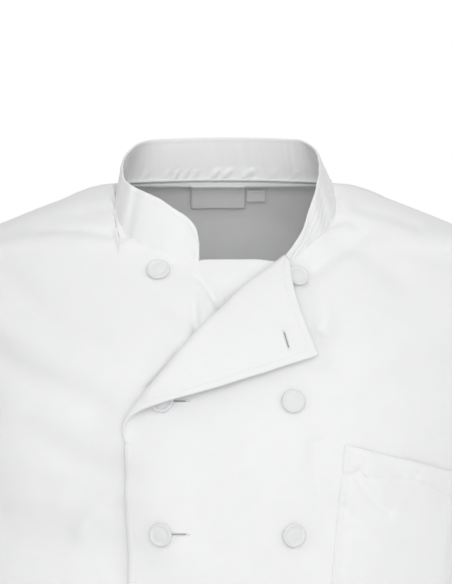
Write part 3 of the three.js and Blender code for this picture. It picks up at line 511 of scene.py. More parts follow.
def wall(points, thickness, cells=None, ring=False):
    """A closed wall of cloth on a grid of points, half on each side of it, with a rounded rim."""
    height, width = points.shape[:2]
    across = width if ring else width - 1
    cells = np.ones((height - 1, across), bool) if cells is None else cells
    normals = normals_of(points, cells, ring)
    half = (np.broadcast_to(thickness, (height, width)) / 2)[..., None]
    number = np.arange(height * width).reshape(height, width)
    r, c = np.nonzero(cells)
    c2 = (c + 1) % width
    corners = np.stack([number[r, c], number[r, c2], number[r + 1, c2], number[r + 1, c]], 1)
    count = height * width
    padded = np.pad(cells, 1)
    if ring:
        padded[:, 0], padded[:, -1] = padded[:, -2], padded[:, 1]
    missing = [~padded[r, c + 1], ~padded[r + 1, c + 2], ~padded[r + 2, c + 1], ~padded[r + 1, c]]
    flat = points.reshape(-1, 3)
    rim = np.zeros((count, 3))
    edges = []
    centres = flat[corners].mean(1)
    for k, gone in enumerate(missing):
        a, b = corners[gone, k], corners[gone, (k + 1) % 4]
        out = (flat[a] + flat[b]) / 2 - centres[gone]
        line = unit(flat[b] - flat[a])
        out = unit(out - line * (out * line).sum(1, keepdims=True))
        np.add.at(rim, a, out)
        np.add.at(rim, b, out)
        edges.append(np.stack([a, b], 1))
    edges = np.vstack(edges)
    rim_points = flat + unit(rim) * half.reshape(-1, 1) * 0.8
    outer = (points + normals * half).reshape(-1, 3)
    inner = (points - normals * half).reshape(-1, 3)
    a, b = edges.T
    faces = np.vstack([
        corners,
        corners[:, ::-1] + count,
        np.stack([a + count, b + count, b + 2 * count, a + 2 * count], 1),
        np.stack([a + 2 * count, b + 2 * count, b, a], 1),
    ])
    return np.vstack([outer, inner, rim_points]), faces


def mesh_object(name, vertices, faces, material):
    """A smooth mesh object from points in millimetres."""
    mesh = bpy.data.meshes.new(name)
    mesh.from_pydata((vertices * MM).tolist(), [], faces)
    mesh.validate()
    mesh.shade_smooth()
    mesh.materials.append(material)
    piece = bpy.data.objects.new(name, mesh)
    bpy.context.scene.collection.objects.link(piece)
    return piece


def make(name, vertices, faces, material):
    """An object from arrays. Points that no face uses are left out."""
    used, faces = np.unique(faces, return_inverse=True)
    return mesh_object(name, vertices[used], faces.reshape(-1, 4).tolist(), material)


def distances(points):
    """How far each point of a grid lies from its row's two ends and from its column's two ends."""
    across = np.linalg.norm(np.diff(points, axis=1), axis=2)
    upwards = np.linalg.norm(np.diff(points, axis=0), axis=2)
    left = np.hstack([np.zeros((len(points), 1)), np.cumsum(across, 1)])
    below = np.vstack([np.zeros((1, points.shape[1])), np.cumsum(upwards, 0)])
    return left, left[:, -1:] - left, below, below[-1:] - below


def pucker(distance, place, spacing, depth, reach, phase=0.0):
    """Small uneven gathers beside a seam, which fade with the distance from it."""
    turn = 2 * math.pi * place / spacing
    wave = np.sin(turn + 1.7 * np.sin(turn / 3.1 + phase) + phase)
    strength = 0.6 + 0.4 * np.sin(turn / 5.3 + 2 * phase)
    return depth * wave * strength * np.exp(-((distance / reach) ** 2))


def ditch(distance, depth=0.45, width=1.1):
    return -depth * np.exp(-((distance / width) ** 2))


# The panels' grids.
def under_front_grid():
    side = -1
    neckline, top_edge = Line(NECKLINE_RIGHT), Line([NECKLINE_RIGHT[-1], UNDER_CORNER])
    shoulder, neck, free = UNDER_COLUMNS.values()
    columns = shoulder + neck + free
    seam = side_angle(side, -SEAM_HALF_GAP)
    at_armpit = evenly(seam, angle_at(FRONT_EDGE_X, ARMPIT_Z), ARMPIT_Z)

    def top(u):
        c = u * columns
        parts = [
            shoulder_seam(np.minimum(c / shoulder, 1), side, -SEAM_HALF_GAP),
            on_line(neckline, np.clip((c - shoulder) / neck, 0, 1)),
            on_line(top_edge, np.clip((c - shoulder - neck) / free, 0, 1)),
        ]
        which = [c <= shoulder, c <= shoulder + neck, c > shoulder + neck]
        return tuple(np.select(which, [p[k] for p in parts]) for k in (0, 1))

    edge = Line([(FRONT_EDGE_X, ARMPIT_Z), UNDER_EDGE_MIDDLE, UNDER_CORNER])
    upper = patch(
        lambda u: (at_armpit(u), np.full(u.shape, float(ARMPIT_Z))),
        top,
        armhole_front(side),
        lambda v: on_line(edge, v),
        columns * FINER,
        UPPER_ROWS * FINER,
    )
    hem = evenly(seam, angle_at(FRONT_EDGE_X, HEM_Z), HEM_Z)
    return on_body(*with_rows_below(upper, hem, FINER), fine=V_CREASES)


fold_line = Line(FOLD_LINE)


def flap_point(along_fold, beyond):
    """A point of the turned-back corner: along the fold line, then round its roll and back."""
    share = np.clip(along_fold / fold_line.length, 0, 1)
    radius = along(ROLL_RADII, "along", along_fold, "radius")
    x, z = fold_line.at(share)
    dx, dz = fold_line.direction(share)
    turn = np.minimum(beyond / radius, math.pi)
    inwards = np.maximum(0, beyond - math.pi * radius) - radius * np.sin(turn)
    x, z = x + dz * inwards, z - dx * inwards
    angle = angle_at(x, z)
    return on_body(angle, z, over_lift(angle) + radius * (1 - np.cos(turn)))


def flap_grid():
    share = np.linspace(0, 1, FOLD_ROWS * FINER + 1)[:, None]
    s = (np.arange(FLAP_COLUMNS) + 1)[None] / FLAP_COLUMNS
    hollow = FLAP_SIDE_HOLLOW * 6.75 * share**2 * (1 - share)
    reach = mix(FLAP_CORNER["along"], FLAP_TOP["along"], share) - hollow
    width = mix(FLAP_CORNER["beyond"], FLAP_TOP["beyond"], share)
    edge = along(FLAP_EDGE, "along", s * FLAP_CORNER["along"], "beyond") / FLAP_CORNER["beyond"]
    return flap_point(mix(share * fold_line.length, reach, s), width * mix(edge, s, share))


def over_front_grid():
    """The over front with its turned-back corner first in each row, and the cells that it has."""
    side = 1
    neckline = Line(NECKLINE_LEFT)
    foot_x, foot_z = FOLD_LINE[0]
    seam = side_angle(side, -SEAM_HALF_GAP)
    at_armpit = evenly(seam, angle_at(foot_x, foot_z), ARMPIT_Z)

    def end(v):
        r = v * UPPER_ROWS
        below = on_line(fold_line, np.minimum(r / FOLD_ROWS, 1))
        above = on_line(neckline, np.clip((UPPER_ROWS - r) / (UPPER_ROWS - FOLD_ROWS), 0, 1))
        return tuple(np.where(r <= FOLD_ROWS, b, a) for b, a in zip(below, above))

    upper = patch(
        lambda u: (at_armpit(u), mix(ARMPIT_Z, foot_z, smooth(0, 1, u))),
        lambda u: shoulder_seam(u, side, -SEAM_HALF_GAP),
        armhole_front(side),
        end,
        OVER_COLUMNS * FINER,
        UPPER_ROWS * FINER,
    )
    hem = evenly(seam, angle_at(-FRONT_EDGE_X, HEM_Z), HEM_Z)
    angle, z = with_rows_below(upper, hem, FINER)
    lying = on_body(angle, z, over_lift(angle))[:, ::-1]
    flap = flap_grid()[:, ::-1]
    rows, low = len(lying), LOWER_ROWS * FINER
    points = np.concatenate([np.repeat(lying[:, :1], FLAP_COLUMNS, 1), lying], 1)
    points[low : low + len(flap), :FLAP_COLUMNS] = flap
    cells = np.ones((rows - 1, points.shape[1] - 1), bool)
    cells[:, :FLAP_COLUMNS] = False
    cells[low : low + len(flap) - 1, :FLAP_COLUMNS] = True
    return points, cells


def back_grid():
    shoulder, neck = BACK_COLUMNS.values()
    columns = 2 * shoulder + neck
    left = side_angle(1, SEAM_HALF_GAP)
    right = side_angle(-1, SEAM_HALF_GAP) + 2 * math.pi
    at_armpit = evenly(left, right, ARMPIT_Z)

    def top(u):
        c = u * columns
        first = shoulder_seam(np.minimum(c / shoulder, 1), 1, SEAM_HALF_GAP)
        last = shoulder_seam(np.clip((columns - c) / shoulder, 0, 1), -1, SEAM_HALF_GAP)
        t = np.clip((c - shoulder) / neck, 0, 1)
        ends = [shoulder_seam(1.0, side, SEAM_HALF_GAP)[0] for side in (1, -1)]
        angle = mix(ends[0], ends[1] + 2 * math.pi, t)
        z = BACK_NECK_Z * np.sqrt(np.maximum(0, np.sin(math.pi * t)))
        which = [c <= shoulder, c < shoulder + neck, c >= shoulder + neck]
        return (
            np.select(which, [first[0], angle, last[0] + 2 * math.pi]),
            np.select(which, [first[1], z, last[1]]),
        )

    def armhole_back(side):
        def edge(v):
            angle, z = armhole(math.pi * (1 + v), side)
            return np.where(angle < 0, angle + 2 * math.pi, angle), z

        return edge

    upper = patch(
        lambda u: (at_armpit(u), np.full(u.shape, float(ARMPIT_Z))),
        top,
        armhole_back(1),
        armhole_back(-1),
        columns * BACK_FINER,
        UPPER_ROWS * FINER,
    )
    return on_body(*with_rows_below(upper, evenly(left, right, HEM_Z), FINER))


SLEEVE_FOLDS = table(
    "place turn width depth",
    (30, 150, 16, -4),
    (95, 230, 18, 3.5),
    (165, 90, 15, -5),
    (205, 60, 14, 3),
    (240, 100, 15, -4),
    (325, 300, 20, -3),
    (12, 40, 9, -1.6),
    (55, 95, 10, 1.5),
    (130, 110, 9, 1.6),
    (187, 120, 8, -1.8),
    (222, 75, 8, 1.6),
    (285, 60, 14, -1.8),
    (350, 140, 12, 1.6),
    (150, 260, 12, -2),
    (200, 280, 10, -1.6),
)
SLEEVE_LEAN = (12, 9.6)
SLEEVE_FORWARD = (2, 15)


def crease_depth(place, turn):
    depth = np.zeros(np.broadcast(place, turn).shape)
    for f in rows_of(SLEEVE_FOLDS):
        away = turn - math.radians(f["turn"])
        off = (place - f["place"] - 22 * np.sin(away)) / f["width"]
        depth += f["depth"] * smooth(-0.3, 0.9, np.cos(away)) * np.exp(-(off**2))
    return depth * (1 - smooth(0.88, 1, place / SLEEVE_BELOW_CAP))


def sleeve_grid(side):
    lean = math.radians(SLEEVE_LEAN[0])
    armpit, tip = form_point(math.pi / 2, ARMPIT_Z), form_point(math.pi / 2, SHOULDER_Z)
    upright = math.atan2(tip[2] - armpit[2], tip[0] - armpit[0])
    turn = np.arange(SLEEVE_SIDES) * 2 * math.pi / SLEEVE_SIDES
    angle, z = armhole(turn, 1)
    local = on_body(angle, z) - armpit

    def axes(tilt):
        c, s = math.cos(tilt), math.sin(tilt)
        return np.array([c, 0, s]), np.array([s, 0, -c])

    first_up, first_out = axes(upright)
    hole_up, hole_out, hole_across = local @ first_up, local @ first_out, local[:, 1]
    top = (1 + np.cos(turn)) / 2
    rings = []
    for t in np.linspace(0, 1, CAP_RINGS + 1):
        ease = smooth(0, 1, t)
        up, out = axes(mix(upright, lean, t))
        start = armpit + np.array([0.5 + 1.1 * smooth(0, 0.1, t) + 2.5 * t, 0, -26 * t])
        bulge = 5 * math.sin(math.pi * t)
        across = mix(hole_across, -SLEEVE_RADIUS * np.sin(turn), ease)
        upwards = mix(hole_up, SLEEVE_RADIUS * (1 + np.cos(turn)), ease) + bulge * top
        outwards = mix(hole_out, 0, ease) - (0.4 * top if t == 0 else 0)
        ring = start + upwards[:, None] * up + outwards[:, None] * out
        ring[:, 1] += across
        rings.append(ring)
    centre = rings[-1].mean(0)
    for k in range(1, SLEEVE_RINGS + 1):
        share = k / SLEEVE_RINGS
        elbow = smooth(0.25, 0.7, share)
        forward = math.sin(math.radians(mix(*SLEEVE_FORWARD, elbow)))
        outward = math.sin(math.radians(mix(*SLEEVE_LEAN, elbow)))
        direction = unit(np.array([outward, -forward, -1]))
        centre = centre + direction * SLEEVE_BELOW_CAP / SLEEVE_RINGS
        up = unit(np.array([1, 0, 0]) - direction * direction[0])
        ahead = np.cross(direction, up)
        radius = mix(SLEEVE_RADIUS, CUFF_RADIUS, share)
        radius = radius + crease_depth(share * SLEEVE_BELOW_CAP, turn)
        rings.append(
            centre
            + (radius * np.cos(turn))[:, None] * up
            + (radius * np.sin(turn) * 1.04)[:, None] * ahead
        )
    grid = np.array(rings)
    grid[..., 0] *= side
    return grid if side > 0 else grid[:, ::-1]


def resampled(points, count):
    steps = np.linalg.norm(np.diff(points, axis=0), axis=1)
    lengths = np.concatenate([[0], np.cumsum(steps)])
    place = np.linspace(0, lengths[-1], count)
    return np.stack([np.interp(place, lengths, points[:, k]) for k in range(3)], 1)


def collar_grid(under, over, back):
    low = UNDER_COLUMNS["shoulder"] * FINER
    right = under[-1, low : low + UNDER_COLUMNS["neck"] * FINER + 1][::-1]
    low = BACK_COLUMNS["shoulder"] * BACK_FINER
    middle = back[-1, low : low + BACK_COLUMNS["neck"] * BACK_FINER + 1][::-1]
    left = over[(LOWER_ROWS + FOLD_ROWS) * FINER :, FLAP_COLUMNS][::-1]
    seam = resampled(np.vstack([right, middle[1:-1], left]), COLLAR_COLUMNS + 1)
    share = np.linspace(0, 1, COLLAR_COLUMNS + 1)
    x, forward, z = (along(COLLAR_EDGE, "share", share, name) for name in ("x", "forward", "z"))
    edge = np.stack([x, seam[:, 1] - forward, z], 1)
    rise = np.linspace(-0.035, 1, COLLAR_ROWS + 1)[:, None, None]
    return mix(seam[None], edge[None], rise)


def near_point(points, normals, x, z, facing):
    """The places on a grid seen from the front at x and z, with their normals."""
    flat, normal = points.reshape(-1, 3), normals.reshape(-1, 3)
    u = np.gradient(points, axis=1).reshape(-1, 3)
    v = np.gradient(points, axis=0).reshape(-1, 3)
    usable = np.flatnonzero(normal[:, 1] * facing > 0.05)
    x, z = np.broadcast_arrays(np.asarray(x, float), np.asarray(z, float))
    found = []
    for px, pz in zip(x.ravel(), z.ravel()):
        gap = (flat[usable, 0] - px) ** 2 + (flat[usable, 2] - pz) ** 2
        i = usable[np.argmin(gap)]
        m = np.array([[u[i, 0], v[i, 0]], [u[i, 2], v[i, 2]]])
        a, b = np.clip(np.linalg.solve(m, [px - flat[i, 0], pz - flat[i, 2]]), -1, 1)
        found.append((flat[i] + a * u[i] + b * v[i], normal[i]))
    places = np.array([f[0] for f in found]).reshape(*x.shape, 3)
    return places, np.array([f[1] for f in found]).reshape(*x.shape, 3)


def back_seam_z(x):
    return BACK_NECK_Z * (1 - (x / 88) ** 2) ** 0.25


# Materials.
def shader(name, colour, roughness, sheen=0.0):
    material = bpy.data.materials.new(name)
    material.use_nodes = True
    principled = material.node_tree.nodes["Principled BSDF"]
    principled.inputs["Base Color"].default_value = (*colour, 1)
    principled.inputs["Roughness"].default_value = roughness
    principled.inputs["Sheen Weight"].default_value = sheen
    principled.inputs["Specular IOR Level"].default_value = 0.25
    return material, material.node_tree, principled


def maths(tree, operation, a, b=0.0):
    node = tree.nodes.new("ShaderNodeMath")
    node.operation = operation
    for socket, value in zip(node.inputs, (a, b)):
        if isinstance(value, (int, float)):
            socket.default_value = value
        else:
            tree.links.new(value, socket)
    return node.outputs[0]


def noise(tree, scale, detail=2.0):
    place = tree.nodes.new("ShaderNodeTexCoord")
    node = tree.nodes.new("ShaderNodeTexNoise")
    node.inputs["Scale"].default_value = scale
    node.inputs["Detail"].default_value = detail
    tree.links.new(place.outputs["Object"], node.inputs["Vector"])
    return node.outputs[0]


def cloth_material(name, colour, pitch=0.00075, slant=1.0, depth=0.00006, sheen=0.12):
    """A twill or plain weave by place: its ribs cross the front and back by x, the sides by y."""
    material, tree, principled = shader(name, colour, 0.88, sheen)
    place = tree.nodes.new("ShaderNodeTexCoord")
    xyz = tree.nodes.new("ShaderNodeSeparateXYZ")
    tree.links.new(place.outputs["Object"], xyz.inputs[0])
    surface = tree.nodes.new("ShaderNodeNewGeometry")
    facing = tree.nodes.new("ShaderNodeSeparateXYZ")
    tree.links.new(surface.outputs["Normal"], facing.inputs[0])
    sideways = maths(tree, "GREATER_THAN", maths(tree, "ABSOLUTE", facing.outputs[0]), 0.72)
    front = maths(tree, "MULTIPLY", xyz.outputs[0], maths(tree, "SUBTRACT", 1.0, sideways))
    across = maths(tree, "ADD", front, maths(tree, "MULTIPLY", xyz.outputs[1], sideways))
    turns = 2 * math.pi / pitch
    rib = maths(tree, "ADD", across, maths(tree, "MULTIPLY", xyz.outputs[2], slant))
    rib = maths(tree, "SINE", maths(tree, "MULTIPLY", rib, turns * 0.7))
    weft = maths(tree, "SINE", maths(tree, "MULTIPLY", xyz.outputs[2], turns * 1.6))
    slub = noise(tree, 900.0, 1.0)
    soft = noise(tree, 160.0, 3.0)
    height = maths(tree, "MULTIPLY", rib, 0.5)
    for part, share in ((weft, 0.25), (slub, 0.9), (soft, 2.2)):
        height = maths(tree, "ADD", height, maths(tree, "MULTIPLY", part, share))
    bump = tree.nodes.new("ShaderNodeBump")
    bump.inputs["Strength"].default_value = 1.0
    bump.inputs["Distance"].default_value = depth
    tree.links.new(height, bump.inputs["Height"])
    tree.links.new(bump.outputs[0], principled.inputs["Normal"])
    ramp = tree.nodes.new("ShaderNodeValToRGB")
    ramp.color_ramp.elements[0].position = 0.3
    ramp.color_ramp.elements[1].position = 0.75
    ramp.color_ramp.elements[0].color = (*(c * 0.985 for c in colour), 1)
    ramp.color_ramp.elements[1].color = (*colour, 1)
    tree.links.new(noise(tree, 60.0, 4.0), ramp.inputs[0])
    tree.links.new(ramp.outputs[0], principled.inputs["Base Color"])
    return material


twill = cloth_material("white_twill", (0.885, 0.887, 0.892))
# Button covers: the same white twill, made darker as painted shade to deepen the look of their dish and rim.
button_cloth = cloth_material("button_twill", (0.8, 0.802, 0.81), 0.0006, 1.0, 0.00004)
tape_cloth = cloth_material("neck_tape_cloth", (0.82, 0.825, 0.835), 0.0006, 0.0, 0.00005)
label_cloth = cloth_material("plain_label_cloth", (0.88, 0.88, 0.88), 0.0004, 0.0, 0.00003, 0.3)
thread = cloth_material("white_thread", (0.85, 0.852, 0.858), 0.0004, 1.0, 0.00003)
# Dark grey for the buttonhole slits: painted shade, in place of the shadow seen inside each slit.
slit_painted_shade = cloth_material("slit_in_shadow", (0.4, 0.4, 0.415), 0.0004, 1.0, 0.00003, 0.0)


def dress(piece, slot, *nodes):
    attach(piece, "root")
    if nodes:
        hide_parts(*nodes)
    return piece


def contour(points, normals, distance, wanted, axis, keep=None):
    """The line on a grid at which a distance has a wanted value, one point for each row or column."""
    found = []
    lines = len(points) if axis == 1 else points.shape[1]
    for i in range(lines):
        at = (i, slice(None)) if axis == 1 else (slice(None), i)
        d = distance[at]
        crossing = np.flatnonzero((d[:-1] - wanted) * (d[1:] - wanted) <= 0)
        if not len(crossing):
            continue
        k = crossing[0]
        w = (wanted - d[k]) / (d[k + 1] - d[k] or 1)
        if keep is None or keep[at][k]:
            found.append([mix(values[at][k], values[at][k + 1], w) for values in (points, normals)])
    return np.array([f[0] for f in found]), np.array([f[1] for f in found])


def raised(line, height):
    points, normals = line
    return points + normals * height, normals


NARROWEST = 0.01


def declare(piece, points, cells=None, ring=False):
    """Works out the cut of a piece of cloth, its widest row, its longest column and its area, and keeps none
    of it.
    """
    p = np.concatenate([points, points[:, :1]], 1) if ring else points
    cells = np.ones((p.shape[0] - 1, p.shape[1] - 1), bool) if cells is None else cells
    there = np.pad(cells, 1)
    across = np.linalg.norm(np.diff(p, axis=1), axis=2) * (there[:-1, 1:-1] | there[1:, 1:-1])
    upwards = np.linalg.norm(np.diff(p, axis=0), axis=2) * (there[1:-1, :-1] | there[1:-1, 1:])
    width, length = across.sum(1).max() * MM, upwards.sum(0).max() * MM
    size = np.linalg.norm(np.cross(p[1:, 1:] - p[:-1, :-1], p[1:, :-1] - p[:-1, 1:]), axis=-1) / 2
    area = float((size * cells).sum()) * MM**2
    flat = [max(NARROWEST, round(float(side), 4)) for side in (width, length)]
    area = round(min(area, flat[0] * flat[1]), 6)


def tubes(name, paths, radius, material, slot, closed=False, sides=6):
    """One piece of round cords along paths, each path being (points, normals)."""
    turn = np.linspace(0, 2 * math.pi, sides, endpoint=False)
    vertices, faces, base = [], [], 0
    for points, normals in paths:
        ahead = np.roll(points, -1, 0) - np.roll(points, 1, 0)
        if not closed:
            ahead[0], ahead[-1] = points[1] - points[0], points[-1] - points[-2]
        across = unit(np.cross(unit(ahead), normals))
        out = np.cross(across, unit(ahead))
        ring = np.cos(turn)[:, None] * across[:, None] + np.sin(turn)[:, None] * out[:, None]
        vertices.append((points[:, None] + ring * radius).reshape(-1, 3))
        number = base + np.arange(len(points) * sides).reshape(-1, sides)
        low, high = (number, np.roll(number, -1, 0)) if closed else (number[:-1], number[1:])
        sideways = [np.roll(low, -1, 1), np.roll(high, -1, 1)]
        faces += np.stack([low, sideways[0], sideways[1], high], -1).reshape(-1, 4).tolist()
        if not closed:
            faces += [number[0, ::-1].tolist(), number[-1].tolist()]
        base += number.size
    return dress(mesh_object(name, np.vstack(vertices), faces, material), slot)


# Stitches: small rounded threads along lines on the cloth.
STITCH_PITCH = 2.7
LABEL_STITCH_PITCH = 2.4
STITCH_LENGTH = 2.0
STITCH_RADIUS = 0.22
STITCH_SUNK = 0.05
STITCH_SIDES = 5
STITCH_STOPS = table("place size", (-0.5, 0.45), (-0.32, 1), (0.32, 1), (0.5, 0.45))


def stitch_faces():
    """The faces of one stitch, whose rings of points follow each other."""
    stops = len(STITCH_STOPS["place"])
    faces = [[0, 3, 2, 1], [0, 4, 3]]
    for k in range(0, (stops - 1) * STITCH_SIDES, STITCH_SIDES):
        for j in range(STITCH_SIDES):
            n = (j + 1) % STITCH_SIDES
            faces.append([k + j, k + n, k + STITCH_SIDES + n, k + STITCH_SIDES + j])
    last = (stops - 1) * STITCH_SIDES
    return faces + [[last, last + 1, last + 2, last + 3], [last, last + 3, last + 4]]


def stitches(name, lines, slot="cloth", pitch=STITCH_PITCH):
    """One piece of all the stitches along lines, each line being (points, normals)."""
    ring = np.linspace(0, 2 * math.pi, STITCH_SIDES, endpoint=False)[:, None]
    place, size = (STITCH_STOPS[column][:, None, None] for column in ("place", "size"))
    shapes = []
    for points, normals in lines:
        steps = np.linalg.norm(np.diff(points, axis=0), axis=1)
        lengths = np.concatenate([[0], np.cumsum(steps)])
        count = int(lengths[-1] / pitch)
        middle = (np.arange(count) + 0.5) * lengths[-1] / max(count, 1)

        def at(values, where):
            return np.stack([np.interp(where, lengths, values[:, k]) for k in range(3)], 1)

        half = STITCH_LENGTH / 2
        first, last, outward = at(points, middle - half), at(points, middle + half), unit(at(normals, middle))
        for a, b, n in zip(first, last, outward):
            ahead = unit(b - a)
            out = np.cross(ahead, n) * np.cos(ring) + n * np.sin(ring)
            centre = (a + b) / 2 + n * STITCH_SUNK
            shape = centre + ahead * place * STITCH_LENGTH + out * STITCH_RADIUS * size
            shapes.append(shape.reshape(-1, 3))
    one, each = stitch_faces(), len(shapes[0])
    faces = [[v + k * each for v in face] for k in range(len(shapes)) for face in one]
    return dress(mesh_object(name, np.vstack(shapes), faces, thread), slot)


# Gathers along a side seam, an armhole and a hem, as spacing, depth and reach.
SIDE_GATHERS = (9, 0.3, 9)
ARMHOLE_GATHERS = (13, 0.45, 12)
HEM_GATHERS = (11, 0.25, 10)
HEM_DITCH = (0.2, 1.5)
SEAM_FADE = (0, 2.5)
LOW_ROW = LOWER_ROWS * FINER


def rows_from(points, row):
    """Which points of a grid are in a row or above it."""
    return np.broadcast_to((np.arange(len(points)) >= row)[:, None], points.shape[:2])


def panel_seams(points, from_side, from_hem, place, side_phase, armhole_phase, hem_phase):
    """The gathers beside a panel's side seam, armhole and hem, with the ditches of their seams."""
    above = rows_from(points, LOW_ROW)
    detail = ditch(from_side) + pucker(from_side, from_hem, *SIDE_GATHERS, side_phase) * ~above
    detail += pucker(from_hem - HEM, place, *HEM_GATHERS, hem_phase)
    detail += ditch(from_hem - HEM, *HEM_DITCH)
    return detail + pucker(from_side, from_hem, *ARMHOLE_GATHERS, armhole_phase) * above


# The body of the jacket.
under = under_front_grid()
over, over_cells = over_front_grid()
back = back_grid()

from_side, from_edge, from_hem, from_top = distances(under)
detail = panel_seams(under, from_side, from_hem, from_side, 0.0, 2.0, 1.0)
detail += pucker(from_top, from_side, 7.5, 0.3, 8, 0.4) * smooth(*SEAM_FADE, from_top)
under_cloth = under + normals_of(under) * detail[..., None]
under_normals = normals_of(under_cloth)
front_right = make("front_right_cloth", *wall(under_cloth, CLOTH), twill)
dress(front_right, "cloth", "front_right")

# The lower edge of the turned-back corner lifts off near its foot.
FOOT_LIFT = 3.2
FOOT_LIFT_AT = 46
FOOT_LIFT_REACH = 30
FREE_EDGE_LIFT = 1.6
FREE_EDGE_REACH = 9
fold_rows = slice(LOW_ROW, LOW_ROW + FOLD_ROWS * FINER + 1)
share = np.linspace(0, 1, FOLD_ROWS * FINER + 1)[:, None]
outwards = (1 - np.arange(FLAP_COLUMNS) / FLAP_COLUMNS)[None]
off_foot = (outwards * FLAP_CORNER["along"] - FOOT_LIFT_AT) / FOOT_LIFT_REACH
over[fold_rows, :FLAP_COLUMNS, 1] -= FOOT_LIFT * np.exp(-(off_foot**2)) * np.exp(-share / 0.16)
over_normals = normals_of(over, over_cells)
lying = over[:, FLAP_COLUMNS:]
from_edge, from_side, from_hem, from_top = distances(lying)
below_armpit = ~rows_from(lying, LOW_ROW)
detail = panel_seams(lying, from_side, from_hem, from_side, 0.7, 1.0, 0.2)
detail += pucker(from_edge - 6, from_hem, 8, 0.1, 7, 0.3) * below_armpit
detail += FREE_EDGE_LIFT * np.exp(-from_edge / FREE_EDGE_REACH) * below_armpit
neckline_rows = rows_from(lying, (LOWER_ROWS + FOLD_ROWS) * FINER)
neck_gathers = pucker(from_edge, from_hem, 7, 0.3, 8, 1.9) * smooth(*SEAM_FADE, from_edge)
detail += neck_gathers * neckline_rows
detail += pucker(from_top, from_side, 9, 0.3, 8, 1.2) * smooth(*SEAM_FADE, from_top)
over_cloth = over.copy()
over_cloth[:, FLAP_COLUMNS:] += over_normals[:, FLAP_COLUMNS:] * detail[..., None]
over_normals = normals_of(over_cloth, over_cells)
front_left = make("front_left_cloth", *wall(over_cloth, CLOTH, over_cells), twill)
dress(front_left, "cloth", "front_left")

from_left, from_right, from_hem, from_top = distances(back)
from_side = np.minimum(from_left, from_right)
detail = panel_seams(back, from_side, from_hem, from_left, 1.4, 0.5, 2.2)
detail += pucker(from_top, from_left, 8, 0.3, 8, 0.9)
back_cloth = back + normals_of(back) * detail[..., None]
back_normals = normals_of(back_cloth)
back_piece = make("back_cloth", *wall(back_cloth, CLOTH), twill)
dress(back_piece, "cloth", "back")

# The facing on the turned-back corner. It goes on under the fold, inside the front.
FACING_STITCHED = 6
facing_columns = slice(0, FLAP_COLUMNS + FACING_UNDER)
flap = over_cloth[fold_rows, facing_columns]
from_edge, _, from_lower, _ = distances(flap)
near_edges = np.minimum(from_edge, from_lower)
layer = (CLOTH + FACING_CLOTH) / 2 + 0.25 * smooth(0.5, 4, near_edges)
seam_puckers = pucker(from_edge - FACING_STITCHED, from_lower, 6.5, 0.22, 5, 0.3)
seam_puckers += pucker(from_lower - FACING_STITCHED, from_edge, 9, 0.14, 5, 1.1)
seam_puckers += sum(ditch(d - FACING_STITCHED, 0.25, 1.2) for d in (from_edge, from_lower))
facing = flap - over_normals[fold_rows, facing_columns] * (layer + seam_puckers)[..., None]
facing_piece = make("facing_left_cloth", *wall(facing, FACING_CLOTH), twill)
dress(facing_piece, "cloth", "facing_left")
facing_out = -normals_of(facing)

# Sleeves, each with a lip that turns in under the panels at the armhole.
LIP_DROP = 1.3
LIP_REACH = (5, 0.6)
for side, name in ((1, "left"), (-1, "right")):
    grid = sleeve_grid(side)
    grid_normals = normals_of(grid, ring=True)
    _, _, from_cap, to_cuff = distances(grid)
    place = np.linspace(0, 2 * math.pi, SLEEVE_SIDES, endpoint=False)[None] * SLEEVE_RADIUS
    detail = pucker(from_cap, place, 11, 0.5, 12, 0.4 + side)
    detail += pucker(to_cuff - CUFF_HEM, place, 12, 0.3, 10, 1.3)
    detail += ditch(to_cuff - CUFF_HEM, *HEM_DITCH)
    grid = grid + grid_normals * detail[..., None]
    lip_out = grid[0] - grid_normals[0] * LIP_DROP
    inwards = unit(grid[0] - grid[2])
    lip = np.array([lip_out + inwards * reach for reach in LIP_REACH])
    whole = np.concatenate([lip, grid], 0)
    piece = make(f"sleeve_{name}_cloth", *wall(whole, CLOTH, ring=True), twill)
    dress(piece, "cloth", f"sleeve_{name}")
    cuff_line = contour(grid, normals_of(grid, ring=True), distances(grid)[3], CUFF_HEM, 0)
    cuff_line = [np.vstack([part, part[:1]]) for part in cuff_line]
    cuff_stitching = stitches(f"sleeve_{name}_stitching", [raised(cuff_line, CLOTH / 2)])
    declare(piece, whole, ring=True)

# The collar. Its puckers lean over the back neck seam, from x1 at the seam to x2 above it.
COLLAR_PUCKERS = table(
    "x1 x2 width depth",
    (-14.5, -7.5, 1.9, 2.2),
    (-4.5, 3, 2.1, 2.3),
    (13, 21.5, 2.3, 2.1),
    (-70, -66, 1.7, 1.2),
    (-52, -49, 1.7, 1.2),
    (-45, -41, 1.7, 1.5),
    (-37, -33, 1.7, 1.2),
    (-29, -25, 1.7, 1.5),
    (37, 41, 1.9, 1.2),
    (56, 61, 1.9, 1.3),
)
COLLAR_STITCHED = 3.2
collar = collar_grid(under_cloth, over_cloth, back_cloth)
collar_normals = normals_of(collar)
from_right_end, _, from_seam, from_rim = distances(collar)
share = np.linspace(0, 1, COLLAR_COLUMNS + 1)[None]
behind = smooth(0.36, 0.42, share) * (1 - smooth(0.64, 0.7, share))
left_side = smooth(0.72, 0.8, share)
seam_gathers = pucker(from_seam, from_right_end, 6.5, 0.6, 7, 0.8)
detail = seam_gathers * (1 + 0.8 * behind) * smooth(0.5, 4, from_seam)
wrinkle = np.sin(from_rim * 0.95 + 1.6 * np.sin(from_right_end / 12))
wrinkle = 0.34 * wrinkle * (0.6 + 0.4 * np.sin(from_right_end / 7)) * smooth(2, 5, from_rim)
wrinkle += 0.3 * np.sin(from_right_end / 4.1 + from_seam / 9) * smooth(6, 12, from_seam)
detail += wrinkle * left_side
height = np.linalg.norm(collar - collar[:1], axis=2)
for f in rows_of(COLLAR_PUCKERS):
    centre = mix(f["x1"], f["x2"], height / 9)
    groove = np.exp(-(((collar[..., 0] - centre) / f["width"]) ** 2)) * (1 - smooth(7, 12, height))
    detail += f["depth"] * groove * smooth(0.5, 3, height) * behind
